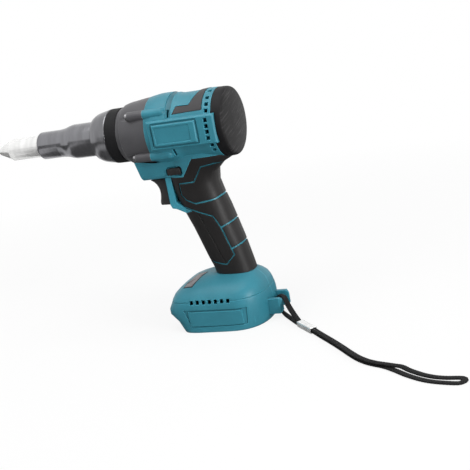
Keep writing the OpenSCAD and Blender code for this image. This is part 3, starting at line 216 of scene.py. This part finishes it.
# Moulded finishes by name, with what departs from the usual
MOULDED = {
    "black_plastic": {"colour": rgb(0.029, 0.0275, 0.0275), "roughness": 0.45},
    "trigger": {"colour": rgb(0.056, 0.054, 0.054), "roughness": 0.45},
    "bare_plate": {"colour": rgb(0.28, 0.265, 0.275), "roughness": 0.45},
    "lock_ring": {"colour": rgb(0.014, 0.014, 0.015), "roughness": 0.6, "gloss": 0.15},
    "side_insert": {
        "colour": rgb(0.054, 0.052, 0.055), "roughness": 0.55, "grain": 1500, "grain_depth": 0.08,
    },
    "grip_rubber": {
        "colour": rgb(0.018, 0.0165, 0.0165), "roughness": 0.5, "gloss": 0.3, "grain": 1500,
        "grain_depth": 0.08, "edge": 0.7 * MM,
    },
    "gearbox": {
        "colour": rgb(0.092, 0.091, 0.098), "roughness": 0.38, "gloss": 0.35, "grain": 1400,
        "grain_depth": 0.05, "edge": 0.8 * MM, "edge_gain": 3.0,
    },
}


def moulded(
    name, colour, roughness, gloss=0.25, grain=2200, grain_depth=0.03,
    edge=0.5 * MM, edge_gain=1.6, corner=3 * MM,
):
    """Moulded plastic or rubber: uneven colour, fine grain, edges painted paler as a highlight and
    corners painted darker as shade.
    """
    finish = Finish(name)
    soft, edges = finish.rounded(edge)
    cloud = finish.span(finish.noise(CLOUD_SCALE, 4), 0.35, 0.65, 0.0, 1.0)
    speck = finish.span(finish.noise(SPECK_SCALE, 2), 0.3, 0.7, 0.0, 1.0)
    clouds = finish.math("MULTIPLY", cloud, CLOUD_SHARE)
    specks = finish.math("MULTIPLY", speck, 1 - CLOUD_SHARE)
    uneven = finish.math("ADD", clouds, specks)
    opened = finish.span(finish.open_share(corner), CORNER_SHUT, CORNER_OPEN, 0.0, 1.0)
    # Painted highlight: open edges are made paler
    edge_highlight = finish.math("MULTIPLY", edges, opened)
    clouded = finish.mix(uneven, shade(colour, CLOUD_GAIN), colour)
    plain = finish.mix(edge_highlight, clouded, shade(colour, edge_gain))
    # Painted shade: the colour is darkened in corners and grooves
    finish.tint = finish.mix(opened, shade(colour, CORNER_SHADE_GAIN), plain)
    finish.set(Base_Color=finish.tint, Specular_IOR_Level=gloss)
    finish.set(Roughness=finish.span(speck, 0.0, 1.0, roughness - GLOSS_SPREAD, roughness + GLOSS_SPREAD))
    finish.set(Normal=finish.bump(finish.noise(grain, 2), grain_depth, GRAIN_HEIGHT, soft))
    return finish


# Turned metal: rings a lathe leaves along the barrel, smears round it, edges painted brighter as a
# highlight, and uneven gloss
RING_STRETCH = (2600, 8, 8)
RING_HEIGHT = 0.1 * MM
RING_GLOSS = 0.06
SMEAR_SCALE = 60
SMEAR_STRETCH = (3, 0.5, 0.5)
SMEAR_SHARE = 0.6
SMEAR_GAIN = 0.75
TURNED_EDGE = 0.35 * MM

# Turned finishes by name, with what departs from the usual
TURNED = {
    "sleeve": {
        "colour": rgb(0.245, 0.245, 0.26), "roughness": 0.17, "metallic": 0.88, "ring_depth": 0.02,
    },
    "collar": {
        "colour": rgb(0.22, 0.22, 0.232), "roughness": 0.2, "metallic": 0.88, "ring_depth": 0.03,
        "edge_gain": 2.6,
    },
    "nose": {
        "colour": rgb(0.95, 0.95, 0.94), "roughness": 0.14, "metallic": 0.5, "ring_depth": 0.02,
        "edge_gain": 1.05,
    },
    "bright_steel": {"colour": rgb(0.36, 0.36, 0.37), "roughness": 0.3, "metallic": 0.9},
    "dark_steel": {"colour": rgb(0.16, 0.16, 0.17), "roughness": 0.4, "metallic": 0.9},
}


def turned(name, colour, roughness, metallic, ring_depth=0.06, edge_gain=2.2):
    """Metal turned on a lathe: fine rings along the barrel, smears, and edges painted brighter as a
    highlight.
    """
    finish = Finish(name)
    soft, edges = finish.rounded(TURNED_EDGE)
    rings = finish.noise(1.0, 2, RING_STRETCH)
    smear = finish.span(finish.noise(SMEAR_SCALE, 3, SMEAR_STRETCH), 0.35, 0.65, 0.0, SMEAR_SHARE)
    plain = finish.mix(smear, colour, shade(colour, SMEAR_GAIN))
    # Painted highlight: edges are made brighter
    finish.set(Base_Color=finish.mix(edges, plain, shade(colour, edge_gain)), Metallic=metallic)
    finish.set(Roughness=finish.span(rings, 0.3, 0.7, roughness - RING_GLOSS, roughness + RING_GLOSS))
    finish.set(Normal=finish.bump(rings, ring_depth, RING_HEIGHT, soft))
    return finish.material


# Shell: where it is darker, with painted shade in the belt round the motor housing, and paler, with
# painted light on the handle
SHELL_COLOUR = rgb(0.041, 0.246, 0.324)
BELT_PLACES = (0.059, 0.0625, 0.0650, 0.0662)
BELT_LEVEL = (0.192, 0.2)
BELT_SHADE_SHARE = 0.75
BELT_SHADE_GAIN = 0.42
HANDLE_FOOT = (0.049, 0.053)
HANDLE_TOP = (0.134, 0.144)
HANDLE_LIGHT_SHARE = 0.85
HANDLE_LIGHT_GAIN = 1.3


def make_teal():
    """Shell plastic, with painted shade in the housing's belt and painted light that makes the handle
    paler.
    """
    finish = moulded(
        "teal_shell", SHELL_COLOUR, 0.4, gloss=0.3, edge=0.9 * MM, edge_gain=2.1, corner=2 * MM
    )
    along, _, level = finish.parts(finish.place())
    # Painted shade: the belt round the motor housing is darkened
    above = finish.span(level, *BELT_LEVEL, 0.0, BELT_SHADE_SHARE)
    belt_shade = finish.math("MULTIPLY", finish.between(along, BELT_PLACES), above)
    belt_shaded = finish.mix(belt_shade, finish.tint, shade(SHELL_COLOUR, BELT_SHADE_GAIN))
    # Painted light: the handle is made paler
    low = finish.span(level, *HANDLE_FOOT, 0.0, 1.0)
    high = finish.span(level, *HANDLE_TOP, HANDLE_LIGHT_SHARE, 0.0)
    handle_light = finish.math("MULTIPLY", low, high)
    finish.set(Base_Color=finish.mix(handle_light, belt_shaded, shade(SHELL_COLOUR, HANDLE_LIGHT_GAIN)))
    return finish.material


# Rear cap: its colour, how much a normal points to the rear on the flat end, and the end's scratches
CAP_COLOUR = rgb(0.013, 0.0125, 0.0135)
CAP_END_PALE = rgb(0.019, 0.0185, 0.019)
CAP_REARWARD = (0.3, 0.85)
SCRATCH_COLOUR = rgb(0.1, 0.097, 0.1)
SCRATCH_STRETCH = (1, 45, 900)
SCRATCH_TURN = (math.radians(-18), 0, 0)
SCRATCH_SHARE = 0.5


def make_cap():
    """Rear cap: dark plastic, paler and scratched on its flat end."""
    finish = moulded("rear_cap", CAP_COLOUR, 0.5, gloss=0.12, grain=1100, grain_depth=0.06)
    rearward = finish.parts(finish.add("ShaderNodeTexCoord").outputs["Normal"])[0]
    end = finish.span(rearward, *CAP_REARWARD, 0.0, 1.0)
    scratch = finish.noise(1.0, 2, SCRATCH_STRETCH, SCRATCH_TURN)
    marks = finish.math("MULTIPLY", finish.span(scratch, 0.54, 0.7, 0.0, SCRATCH_SHARE), end)
    # The end, where the surface faces rearward, is made paler
    paler_end = finish.mix(end, finish.tint, CAP_END_PALE)
    finish.set(Base_Color=finish.mix(marks, paler_end, SCRATCH_COLOUR))
    return finish.material


# Finishes of the pieces inside: colour, roughness and share of metal
INNER = {
    "ground_steel": (rgb(0.5, 0.51, 0.52), 0.28, 1.0),
    "hardened_steel": (rgb(0.3, 0.3, 0.31), 0.35, 1.0),
    "motor_laminate": (rgb(0.2, 0.2, 0.21), 0.45, 0.9),
    "enamelled_copper": (rgb(0.6, 0.22, 0.08), 0.35, 0.9),
    "circuit_board": (rgb(0.02, 0.12, 0.045), 0.4, 0.0),
    "black_nylon": (rgb(0.03, 0.03, 0.031), 0.5, 0.0),
    "red_lead": (rgb(0.4, 0.03, 0.025), 0.5, 0.0),
    "yellow_lead": (rgb(0.62, 0.4, 0.05), 0.5, 0.0),
    "brass": (rgb(0.62, 0.43, 0.16), 0.3, 1.0),
}
STAIN_SCALE = 140
STAIN_GAIN = 0.7
INNER_GLOSS = 0.08
INNER_GRAIN = 1600
INNER_DEPTH = 0.05
INNER_HEIGHT = 0.1 * MM


def make_inner(name):
    """A piece inside the tool: its colour with small stains, and grain in the gloss."""
    colour, roughness, metallic = INNER[name]
    finish = Finish(name)
    stain = finish.span(finish.noise(STAIN_SCALE, 4), 0.3, 0.7, 0.0, 1.0)
    speck = finish.noise(SPECK_SCALE, 2)
    finish.set(Base_Color=finish.mix(stain, shade(colour, STAIN_GAIN), colour), Metallic=metallic)
    finish.set(Roughness=finish.span(speck, 0.3, 0.7, roughness - INNER_GLOSS, roughness + INNER_GLOSS))
    grain = finish.noise(INNER_GRAIN, 2)
    finish.set(Normal=finish.bump(grain, INNER_DEPTH, INNER_HEIGHT, finish.flat_normal()))
    return finish.material


def new_object(name, verts, faces, material):
    """An object with a new mesh of one material."""
    mesh = bpy.data.meshes.new(name)
    mesh.from_pydata(verts, [], faces)
    mesh.materials.append(material)
    made = bpy.data.objects.new(name, mesh)
    bpy.context.scene.collection.objects.link(made)
    return made


def tube_faces(rings, sides):
    """Faces of a tube through rings of points, with a cap at both ends."""
    faces = []
    for j in range(rings - 1):
        for k in range(sides):
            a = j * sides + k
            b = j * sides + (k + 1) % sides
            faces.append((a, b, b + sides, a + sides))
    last = (rings - 1) * sides
    faces.append(tuple(range(sides - 1, -1, -1)))
    faces.append(tuple(range(last, last + sides)))
    return faces


def swell(value, power):
    """A sine or cosine pushed outwards, so that a circle of them comes nearer to a square."""
    return math.copysign(abs(value) ** (2 / power), value)


# Wrist strap: x, y and z of the band's middle and the heading of its width, as in the CAD source.
# They are millimetres and degrees, and the frame's origin lies STRAP_SHIFT in front of theirs.
STRAP_SHIFT = 80.557
STRAP_W = 5.4 * MM
STRAP_T = 1.7 * MM
EYE_ROUTE = [
    (79.9, -43.85, 3.85, 43.2), (71.3, -34.7, 3.85, 43.2), (67, -29.2, 5.2, 40), (63.4, -24.7, 7.3, 39),
    (58.5, -18.5, 10.8, 38), (54, -12.5, 14.6, 42), (50.5, -6.5, 17.2, 54), (47, -1.5, 17.7, 74),
    (43.6, 1, 17.55, 88), (41.2, 1.3, 16.6, 90), (40.1, 1.2, 14.2, 90), (40.3, 1, 11, 90),
    (40.9, 0.8, 7.5, 90), (42.2, 0.2, 4, 88), (45, -1.6, 1.8, 80), (49, -6.5, 1.2, 60),
    (54.4, -13.3, 1.1, 46), (60.6, -21.1, 1.1, 39), (66.9, -29.2, 1.3, 40), (71.3, -34.7, 1.9, 43.2),
    (79.9, -43.85, 1.9, 43.2),
]
LOOP_ROUTE = [
    (79.9, -43.85, 1.9, 43.2), (88.5, -53, 1.9, 43.2), (99, -64.2, 1.15, 43), (111, -77.6, 1, 41),
    (123, -91.8, 1, 40), (133.5, -104.8, 1, 41), (142.5, -115, 1, 46), (151, -122.4, 1, 54),
    (158.5, -127, 1, 60), (164.5, -130, 1, 58), (170.5, -134, 1, 52), (178, -140.2, 1, 49),
    (186.5, -147.7, 1, 50), (197.5, -155.6, 1, 59), (207, -160.4, 1, 70), (217, -163.2, 1, 81),
    (225.8, -164.6, 1, 90), (229.2, -163.2, 1, 135), (230.5, -160, 1, 180), (229.2, -156.8, 1, 225),
    (225.8, -155.4, 1, 270), (217, -154.9, 1, 262), (208, -152.7, 1, 250), (199.5, -148.5, 1, 241),
    (193, -143.9, 1, 235), (187, -139.8, 1.4, 236), (181, -136.4, 2.9, 241), (175, -133.9, 3, 244),
    (168.5, -131.2, 3, 244), (164.5, -129.6, 3, 241), (158.5, -127, 3, 240), (151, -122.4, 3, 234),
    (142.5, -115, 3, 226), (133.5, -104.8, 3, 221), (123, -91.8, 3, 220), (111, -77.6, 3, 221),
    (99, -64.2, 3.15, 223), (88.5, -53, 3.85, 223.2), (79.9, -43.85, 3.85, 223.2),
]
EYE_LENGTH = 0.136
LOOP_LENGTH = 0.397
BRAID_PITCH = 2.4 * MM
BRAID_STEP = 0.6 * MM
BRAID_WAVE = 0.16 * MM
BAND_SIDES = 16
BAND_POWER = 3.2


def spline(points, step):
    """Rows along a smooth curve through points, about step apart."""
    p = np.array(points, float)
    rows = []
    for i in range(len(p) - 1):
        a = p[max(i - 1, 0)]
        b = p[i]
        c = p[i + 1]
        d = p[min(i + 2, len(p) - 1)]
        count = max(2, round(float(np.linalg.norm(c[:3] - b[:3])) / step))
        for k in range(count):
            t = k / count
            square = 2 * a - 5 * b + 4 * c - d
            cube = 3 * b - a - 3 * c + d
            rows.append((2 * b + (c - a) * t + square * t**2 + cube * t**3) / 2)
    rows.append(p[-1])
    return np.array(rows)


def band_outline(run):
    """The band's outline at a length along it: how far across and how far up each point lies."""
    outline = []
    for k in range(BAND_SIDES):
        a = 2 * math.pi * k / BAND_SIDES
        c = math.cos(a)
        phase = 0 if c > 0 else math.pi
        wave = BRAID_WAVE * math.sin(2 * math.pi * run / BRAID_PITCH + phase)
        half = STRAP_W / 2 + wave * abs(c) - BRAID_WAVE
        outline.append((half * swell(c, BAND_POWER), STRAP_T / 2 * swell(math.sin(a), BAND_POWER)))
    return outline


def band(name, route, material):
    """A flat braided band along a route, with its waves along both edges."""
    points = [((x + STRAP_SHIFT) * MM, y * MM, z * MM, math.radians(a)) for x, y, z, a in route]
    rows = spline(points, BRAID_STEP)
    places = rows[:, :3]
    along = np.gradient(places, axis=0)
    along /= np.linalg.norm(along, axis=1)[:, None]
    runs = np.concatenate([[0], np.cumsum(np.linalg.norm(np.diff(places, axis=0), axis=1))])
    across = np.stack([np.cos(rows[:, 3]), np.sin(rows[:, 3]), np.zeros(len(rows))], axis=1)
    normal = np.cross(along, across)
    normal /= np.linalg.norm(normal, axis=1)[:, None]
    verts = []
    braid_places = []
    for j in range(len(rows)):
        for u, v in band_outline(runs[j]):
            verts.append(tuple(places[j] + u * across[j] + v * normal[j]))
            braid_places.append((u / STRAP_W, runs[j]))
    piece = new_object(name, verts, tube_faces(len(rows), BAND_SIDES), material)
    mesh = piece.data
    layer = mesh.uv_layers.new(name="braid")
    for loop in mesh.loops:
        layer.data[loop.index].uv = braid_places[loop.vertex_index]
    mesh.polygons.foreach_set("use_smooth", [len(p.vertices) == 4 for p in mesh.polygons])
    mesh.update()
    return piece, places


# Braid: how far a yarn leans, its colour below and on top, which paints shade between the yarns and light
# on their tops, and its fuzz
YARN_LEAN = 2.2
YARN_SHADE_COLOUR = rgb(0.001, 0.001, 0.001)
YARN_LIT_COLOUR = rgb(0.017, 0.017, 0.0175)
YARN_HEIGHT = 0.3 * MM
YARN_DEPTH = 0.7
FUZZ_SCALE = 5000
FUZZ_SHARE = 0.3


def make_braid():
    """Black braid: chevrons of yarn that meet along the middle of the band, with painted light on the
    yarns and painted shade between them.
    """
    finish = Finish("strap_braid")
    across, along, _ = finish.parts(finish.add("ShaderNodeUVMap", uv_map="braid").outputs[0])
    lean = finish.math("MULTIPLY", finish.math("ABSOLUTE", across), YARN_LEAN)
    turn = finish.math("ADD", finish.math("DIVIDE", along, BRAID_PITCH / 2), lean)
    yarn = finish.math("ABSOLUTE", finish.math("SINE", finish.math("MULTIPLY", turn, math.pi)))
    fuzz = finish.noise(FUZZ_SCALE, 2)
    height = finish.math("ADD", yarn, finish.math("MULTIPLY", fuzz, FUZZ_SHARE))
    # Painted light and shade: yarn tops are paler and the hollows between them darker
    finish.set(Base_Color=finish.mix(yarn, YARN_SHADE_COLOUR, YARN_LIT_COLOUR))
    finish.set(Roughness=finish.span(fuzz, 0.2, 0.8, 0.6, 0.85))
    finish.set(Specular_IOR_Level=0.12, Sheen_Weight=0.01)
    finish.set(Normal=finish.bump(height, YARN_DEPTH, YARN_HEIGHT, finish.flat_normal()))
    return finish.material


def make_strap():
    """The strap's eye round the bar and its long loop, both held by the ferrule."""
    braid = make_braid()
    for name, route, length in (
        ("strap_eye", EYE_ROUTE, EYE_LENGTH), ("strap_loop", LOOP_ROUTE, LOOP_LENGTH)
    ):
        piece, path = band(name + "_band", route, braid)
        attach(piece, "housing")
        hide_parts(name)


WELD = 0.002 * MM
FLAT_ANGLE = math.radians(1)
SHARP_ANGLE = math.radians(40)
SMOOTH_ANGLE = math.radians(34)


def soften(work, width):
    """Rounds off a mesh's sharp outer edges by a width."""
    bmesh.ops.dissolve_limit(work, angle_limit=FLAT_ANGLE, verts=work.verts, edges=work.edges)
    work.normal_update()
    outer = [e for e in work.edges if len(e.link_faces) == 2 and e.is_convex]
    sharp = [e for e in outer if e.calc_face_angle() > SHARP_ANGLE]
    bmesh.ops.bevel(
        work, geom=sharp, offset=width, segments=2, profile=0.5, affect="EDGES", clamp_overlap=True
    )


def dressed(node, material, edge=0.0):
    """A smooth-shaded copy of a CAD node, welded along its faces, which takes the node's place."""
    source = nodes[node]
    mesh = source.data.copy()
    work = bmesh.new()
    work.from_mesh(mesh)
    bmesh.ops.remove_doubles(work, verts=work.verts, dist=WELD)
    if edge:
        soften(work, edge)
    work.to_mesh(mesh)
    work.free()
    if "custom_normal" in mesh.attributes:
        mesh.attributes.remove(mesh.attributes["custom_normal"])
    mesh.materials.clear()
    mesh.materials.append(material)
    mesh.polygons.foreach_set("use_smooth", [True] * len(mesh.polygons))
    mesh.set_sharp_from_angle(angle=SMOOTH_ANGLE)
    mesh.update()
    piece = bpy.data.objects.new(node + "_dressed", mesh)
    bpy.context.scene.collection.objects.link(piece)
    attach(piece, source["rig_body"])
    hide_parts(node)
    return piece


# Plate on the foot: how much it grows and lifts, its rim's width, and which faces look up or outwards
PLATE_GROW = 1.08
PLATE_LIFT = 0.15 * MM
PLATE_RIM = 0.9 * MM
PLATE_UPWARD = 0.5
PLATE_OUTWARD = 0.6


def make_plate(grey, black):
    """The foot's plate, with a black rim all round."""
    plate = dressed("info_plate", grey)
    plate.data.materials.append(black)
    work = bmesh.new()
    work.from_mesh(plate.data)
    middle = sum((v.co for v in work.verts), Vector()) / len(work.verts)
    upper = [f for f in work.faces if f.normal.z > PLATE_UPWARD]
    out = sum((f.normal * f.calc_area() for f in upper), Vector()).normalized()
    for v in work.verts:
        v.co = middle + PLATE_GROW * (v.co - middle) + PLATE_LIFT * out
    top = [f for f in work.faces if f.normal.dot(out) > PLATE_OUTWARD]
    rim = bmesh.ops.inset_region(
        work, faces=top, thickness=PLATE_RIM, use_boundary=True, use_even_offset=True
    )
    sides = [f for f in work.faces if f.normal.dot(out) < PLATE_OUTWARD]
    for face in rim["faces"] + sides:
        face.material_index = 1
    work.to_mesh(plate.data)
    work.free()


def shell_solid(name, verts, faces, material):
    """A closed mesh that belongs to the housing."""
    piece = new_object(name, verts, faces, material)
    work = bmesh.new()
    work.from_mesh(piece.data)
    bmesh.ops.recalc_face_normals(work, faces=work.faces)
    work.to_mesh(piece.data)
    work.free()
    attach(piece, nodes["housing_left"]["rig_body"])


# Foot's top in front of the handle, where the shell has a gap: middle, reach, half width and rows
# of a share of both and a level
ROOT_MIDDLE = 0.082
ROOT_REACH = 0.0212
ROOT_HALF = 0.0137
ROOT_POWER = 2.6
ROOT_ROWS = [(1.0, 0.0448), (1.0, 0.0462), (0.9, 0.0471), (0.5, 0.0473)]
ROOT_STEPS = 32


def make_handle_root(material):
    """A web that joins the foot's top to the front of the handle."""
    verts = []
    for share, level in ROOT_ROWS:
        for k in range(ROOT_STEPS + 1):
            a = math.pi * (k / ROOT_STEPS - 0.5)
            x = ROOT_MIDDLE - share * ROOT_REACH * swell(math.cos(a), ROOT_POWER)
            y = share * ROOT_HALF * swell(math.sin(a), ROOT_POWER)
            verts.append((x, y, level))
    faces = tube_faces(len(ROOT_ROWS), ROOT_STEPS + 1)
    shell_solid("handle_root", verts, faces, material)


# Dark screen behind the vents, round the fan, as painted shade for the inside: its ends along the barrel
# and its outer and inner radius
SCREEN_ENDS = (87.5 * MM, 100.05 * MM)
SCREEN_RADII = (25.4 * MM, 25.0 * MM)
SCREEN_SIDES = 64
AXIS_LEVEL = 181 * MM


def make_vent_shade_screen(material):
    """A dark screen behind the vents, as painted shade, so that the view doesn't pass through the
    housing.
    """
    front, rear = SCREEN_ENDS
    outer, inner = SCREEN_RADII
    section = [(outer, front), (outer, rear), (inner, rear), (inner, front)]
    corners = len(section)
    verts = []
    faces = []
    for k in range(SCREEN_SIDES):
        a = 2 * math.pi * k / SCREEN_SIDES
        here = corners * k
        there = corners * ((k + 1) % SCREEN_SIDES)
        for j, (r, x) in enumerate(section):
            beside = (j + 1) % corners
            verts.append((x, r * math.cos(a), AXIS_LEVEL + r * math.sin(a)))
            faces.append((here + j, here + beside, there + beside, there + j))
    shell_solid("vent_shade_screen", verts, faces, material)


def make_jaw_spring(steel):
    """The jaws' spring, which in the tool shortens as the pusher moves back, as a smooth copy with a mesh
    of its own.
    """
    spring = dressed("jaw_spring", steel)
    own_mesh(spring)


# Pieces that show: CAD node, finish and the record's slot
OUTSIDE = [
    ("housing_left", "teal_shell", "shell_plastic"),
    ("housing_right", "teal_shell", "shell_plastic"),
    ("strap_bar", "teal_shell", "bar_plastic"),
    ("grip_left", "grip_rubber", "grip_rubber"),
    ("grip_right", "grip_rubber", "grip_rubber"),
    ("insert_left", "side_insert", "black_plastic"),
    ("insert_right", "side_insert", "black_plastic"),
    ("rear_cap", "rear_cap", "black_plastic"),
    ("gearbox_case", "gearbox", "gearbox_plastic"),
    ("gearbox_screws", "bright_steel", "steel"),
    ("housing_screws", "dark_steel", "steel"),
    ("lock_ring", "lock_ring", "lock_ring"),
    ("collar_nut", "collar", "sleeve"),
    ("front_sleeve", "sleeve", "sleeve"),
    ("nosepiece", "nose", "nose_steel"),
    ("strap_ferrule", "nose", "nose_steel"),
    ("trigger", "trigger", "black_plastic"),
    ("selector", "black_plastic", "black_plastic"),
    ("terminal_block", "black_plastic", "black_plastic"),
    ("terminal_blades", "brass", "copper"),
]
ROUNDED_EDGES = {"trigger": 0.7 * MM, "selector": 0.5 * MM, "terminal_block": 0.3 * MM}


def dress_outside():
    """Finishes of every piece that shows, and the pieces that the CAD lacks."""
    finishes = {name: moulded(name, **values).material for name, values in MOULDED.items()}
    finishes.update({name: turned(name, **values) for name, values in TURNED.items()})
    finishes["teal_shell"] = make_teal()
    finishes["rear_cap"] = make_cap()
    finishes["brass"] = make_inner("brass")
    for node, finish, slot in OUTSIDE:
        dressed(node, finishes[finish], ROUNDED_EDGES.get(node, 0.0))
    make_plate(finishes["bare_plate"], finishes["black_plastic"])
    make_handle_root(finishes["teal_shell"])
    # Painted shade: a dark screen behind the vents
    make_vent_shade_screen(finishes["black_plastic"])


# Pieces inside the tool that stay as they are in the CAD, by finish
INSIDE = {
    "ground_steel": (
        "jaw_case", "jaw_pusher", "draw_nut", "drive_screw", "planet_carrier", "thrust_bearing",
        "screw_bearing", "front_bearing", "rear_bearing", "motor_shaft", "gear_plate",
    ),
    "hardened_steel": (
        "jaw_1", "jaw_2", "jaw_3", "planet_gear_1", "planet_gear_2", "planet_gear_3", "ring_gear",
        "sun_gear",
    ),
    "motor_laminate": ("stator_core", "rotor_core"),
    "enamelled_copper": ("stator_coils",),
    "black_nylon": ("cooling_fan", "switch_body"),
    "circuit_board": ("control_board",),
    "red_lead": ("battery_leads",),
    "yellow_lead": ("motor_leads",),
}


def dress_inside():
    """Finishes of the pieces inside the tool."""
    finishes = {name: make_inner(name) for name in INSIDE}
    for name, inner_nodes in INSIDE.items():
        for node in inner_nodes:
            mesh = nodes[node].data
            mesh.materials.clear()
            mesh.materials.append(finishes[name])
    make_jaw_spring(finishes["ground_steel"])


def seen_mix(tree, plain_output, shown_output):
    """Mixes two shaders: one for light that bounces, one for what the camera or a mirror sees."""
    light = tree.nodes.new("ShaderNodeLightPath")
    seen = light.outputs["Is Camera Ray"]
    for other in ("Is Glossy Ray", "Is Transmission Ray"):
        either = tree.nodes.new("ShaderNodeMath")
        either.operation = "MAXIMUM"
        tree.links.new(seen, either.inputs[0])
        tree.links.new(light.outputs[other], either.inputs[1])
        seen = either.outputs[0]
    mixed = tree.nodes.new("ShaderNodeMixShader")
    tree.links.new(seen, mixed.inputs[0])
    tree.links.new(plain_output, mixed.inputs[1])
    tree.links.new(shown_output, mixed.inputs[2])
    return mixed.outputs[0]


# Floor: its size, its colour where light bounces and where the shadow shows, and how the shadow fades
FLOOR_SIZE = 6.0
FLOOR_BOUNCE = 0.45
FLOOR_PALE = 0.92
SHADOW_NEAR = 0.3
SHADOW_FAR = 0.75
SHADOW_HOLD = 0.84


def make_floor():
    """A white floor that keeps a faint shadow close to the tool."""
    finish = Finish("floor")
    matte = finish.add("ShaderNodeBsdfDiffuse", {"Color": rgb(*[FLOOR_BOUNCE] * 3)})
    pale = finish.add("ShaderNodeBsdfDiffuse", {"Color": rgb(*[FLOOR_PALE] * 3)})
    white = finish.add("ShaderNodeEmission", {"Strength": 1.0})
    away = finish.add("ShaderNodeVectorMath", {0: finish.place()}, operation="LENGTH").outputs["Value"]
    share = finish.span(away, SHADOW_NEAR, SHADOW_FAR, SHADOW_HOLD, 1.0)
    shown = finish.add("ShaderNodeMixShader", {0: share, 1: pale.outputs[0], 2: white.outputs[0]})
    finish.show(seen_mix(finish.tree, matte.outputs[0], shown.outputs[0]))
    half = FLOOR_SIZE / 2
    corners = [(-half, -half, 0), (half, -half, 0), (half, half, 0), (-half, half, 0)]
    new_object("floor", corners, [(0, 1, 2, 3)], finish.material)


# Dark card that lies under the tool and stands up before it, which only glossy surfaces see.
# Two slanted edges bound its pale strip, which starts and ends softly.
CARD_LEFT = -1.3
CARD_RIGHT = 0.6
CARD_NEAR = 0.3
CARD_FAR = -1.1
CARD_TOP = 0.42
CARD_EDGES = [(-0.576, 0.143), (-0.175, 0.205)]
CARD_STRIP = (-0.13, -0.11, -0.016, 0.0)
CARD_PALE = 1.0
CARD_DARK = 0.14


def make_card():
    """A dark card for the barrel's lower side to reflect, with a pale strip for the nose."""
    finish = Finish("card")
    across, along, _ = finish.parts(finish.place())
    first, second = [
        finish.math("ADD", across, finish.math("MULTIPLY_ADD", along, slant, shift))
        for slant, shift in CARD_EDGES
    ]
    strip = finish.between(finish.math("MAXIMUM", first, second), CARD_STRIP)
    level = finish.span(strip, 0.0, 1.0, CARD_DARK, CARD_PALE)
    finish.show(finish.add("ShaderNodeEmission", {"Strength": level}).outputs[0])
    rows = [(CARD_NEAR, MM), (CARD_FAR, MM), (CARD_FAR, CARD_TOP)]
    corners = [(x, y, z) for y, z in rows for x in (CARD_LEFT, CARD_RIGHT)]
    card = new_object("card", corners, [(0, 1, 3, 2), (2, 3, 5, 4)], finish.material)
    card.visible_camera = False
    card.visible_diffuse = False
    card.visible_shadow = False
    card.visible_transmission = False


WORLD_LIGHT = 0.36


def make_world():
    """White behind the object, and an even soft light on it."""
    world = bpy.data.worlds.new("studio")
    world.use_nodes = True
    bpy.context.scene.world = world
    tree = world.node_tree
    tree.nodes.clear()
    soft = tree.nodes.new("ShaderNodeBackground")
    soft.inputs["Strength"].default_value = WORLD_LIGHT
    white = tree.nodes.new("ShaderNodeBackground")
    white.inputs["Strength"].default_value = 1.0
    for background in (soft, white):
        background.inputs["Color"].default_value = rgb(1, 1, 1)
    output = tree.nodes.new("ShaderNodeOutputWorld")
    tree.links.new(seen_mix(tree, soft.outputs[0], white.outputs[0]), output.inputs["Surface"])


# Round lamps: place, width, power, and whether glossy surfaces mirror them
LAMPS = {
    "top_lamp": ((-0.05, -0.2, 1.25), 1.12, 8.5, True),
    "front_lamp": ((-1.1, -1.6, 1.9), 1.8, 11.5, False),
    "rear_lamp": ((1.15, -0.55, 0.3), 0.45, 9.0, True),
}
LAMP_AIM = Vector((-0.02, 0.0, 0.12))


def make_lamps():
    """Soft light from above, from the front and from the rear."""
    for name, (place, width, power, mirrored) in LAMPS.items():
        data = bpy.data.lights.new(name, "AREA")
        data.shape = "DISK"
        data.size = width
        data.energy = power
        made = bpy.data.objects.new(name, data)
        made.location = place
        made.rotation_mode = "QUATERNION"
        made.rotation_quaternion = (LAMP_AIM - Vector(place)).to_track_quat("-Z", "Y")
        made.visible_glossy = mirrored
        bpy.context.scene.collection.objects.link(made)


make_camera()
dress_outside()
make_strap()
dress_inside()
make_floor()
make_card()
make_world()
make_lamps()
bpy.context.scene.view_settings.view_transform = "Standard"
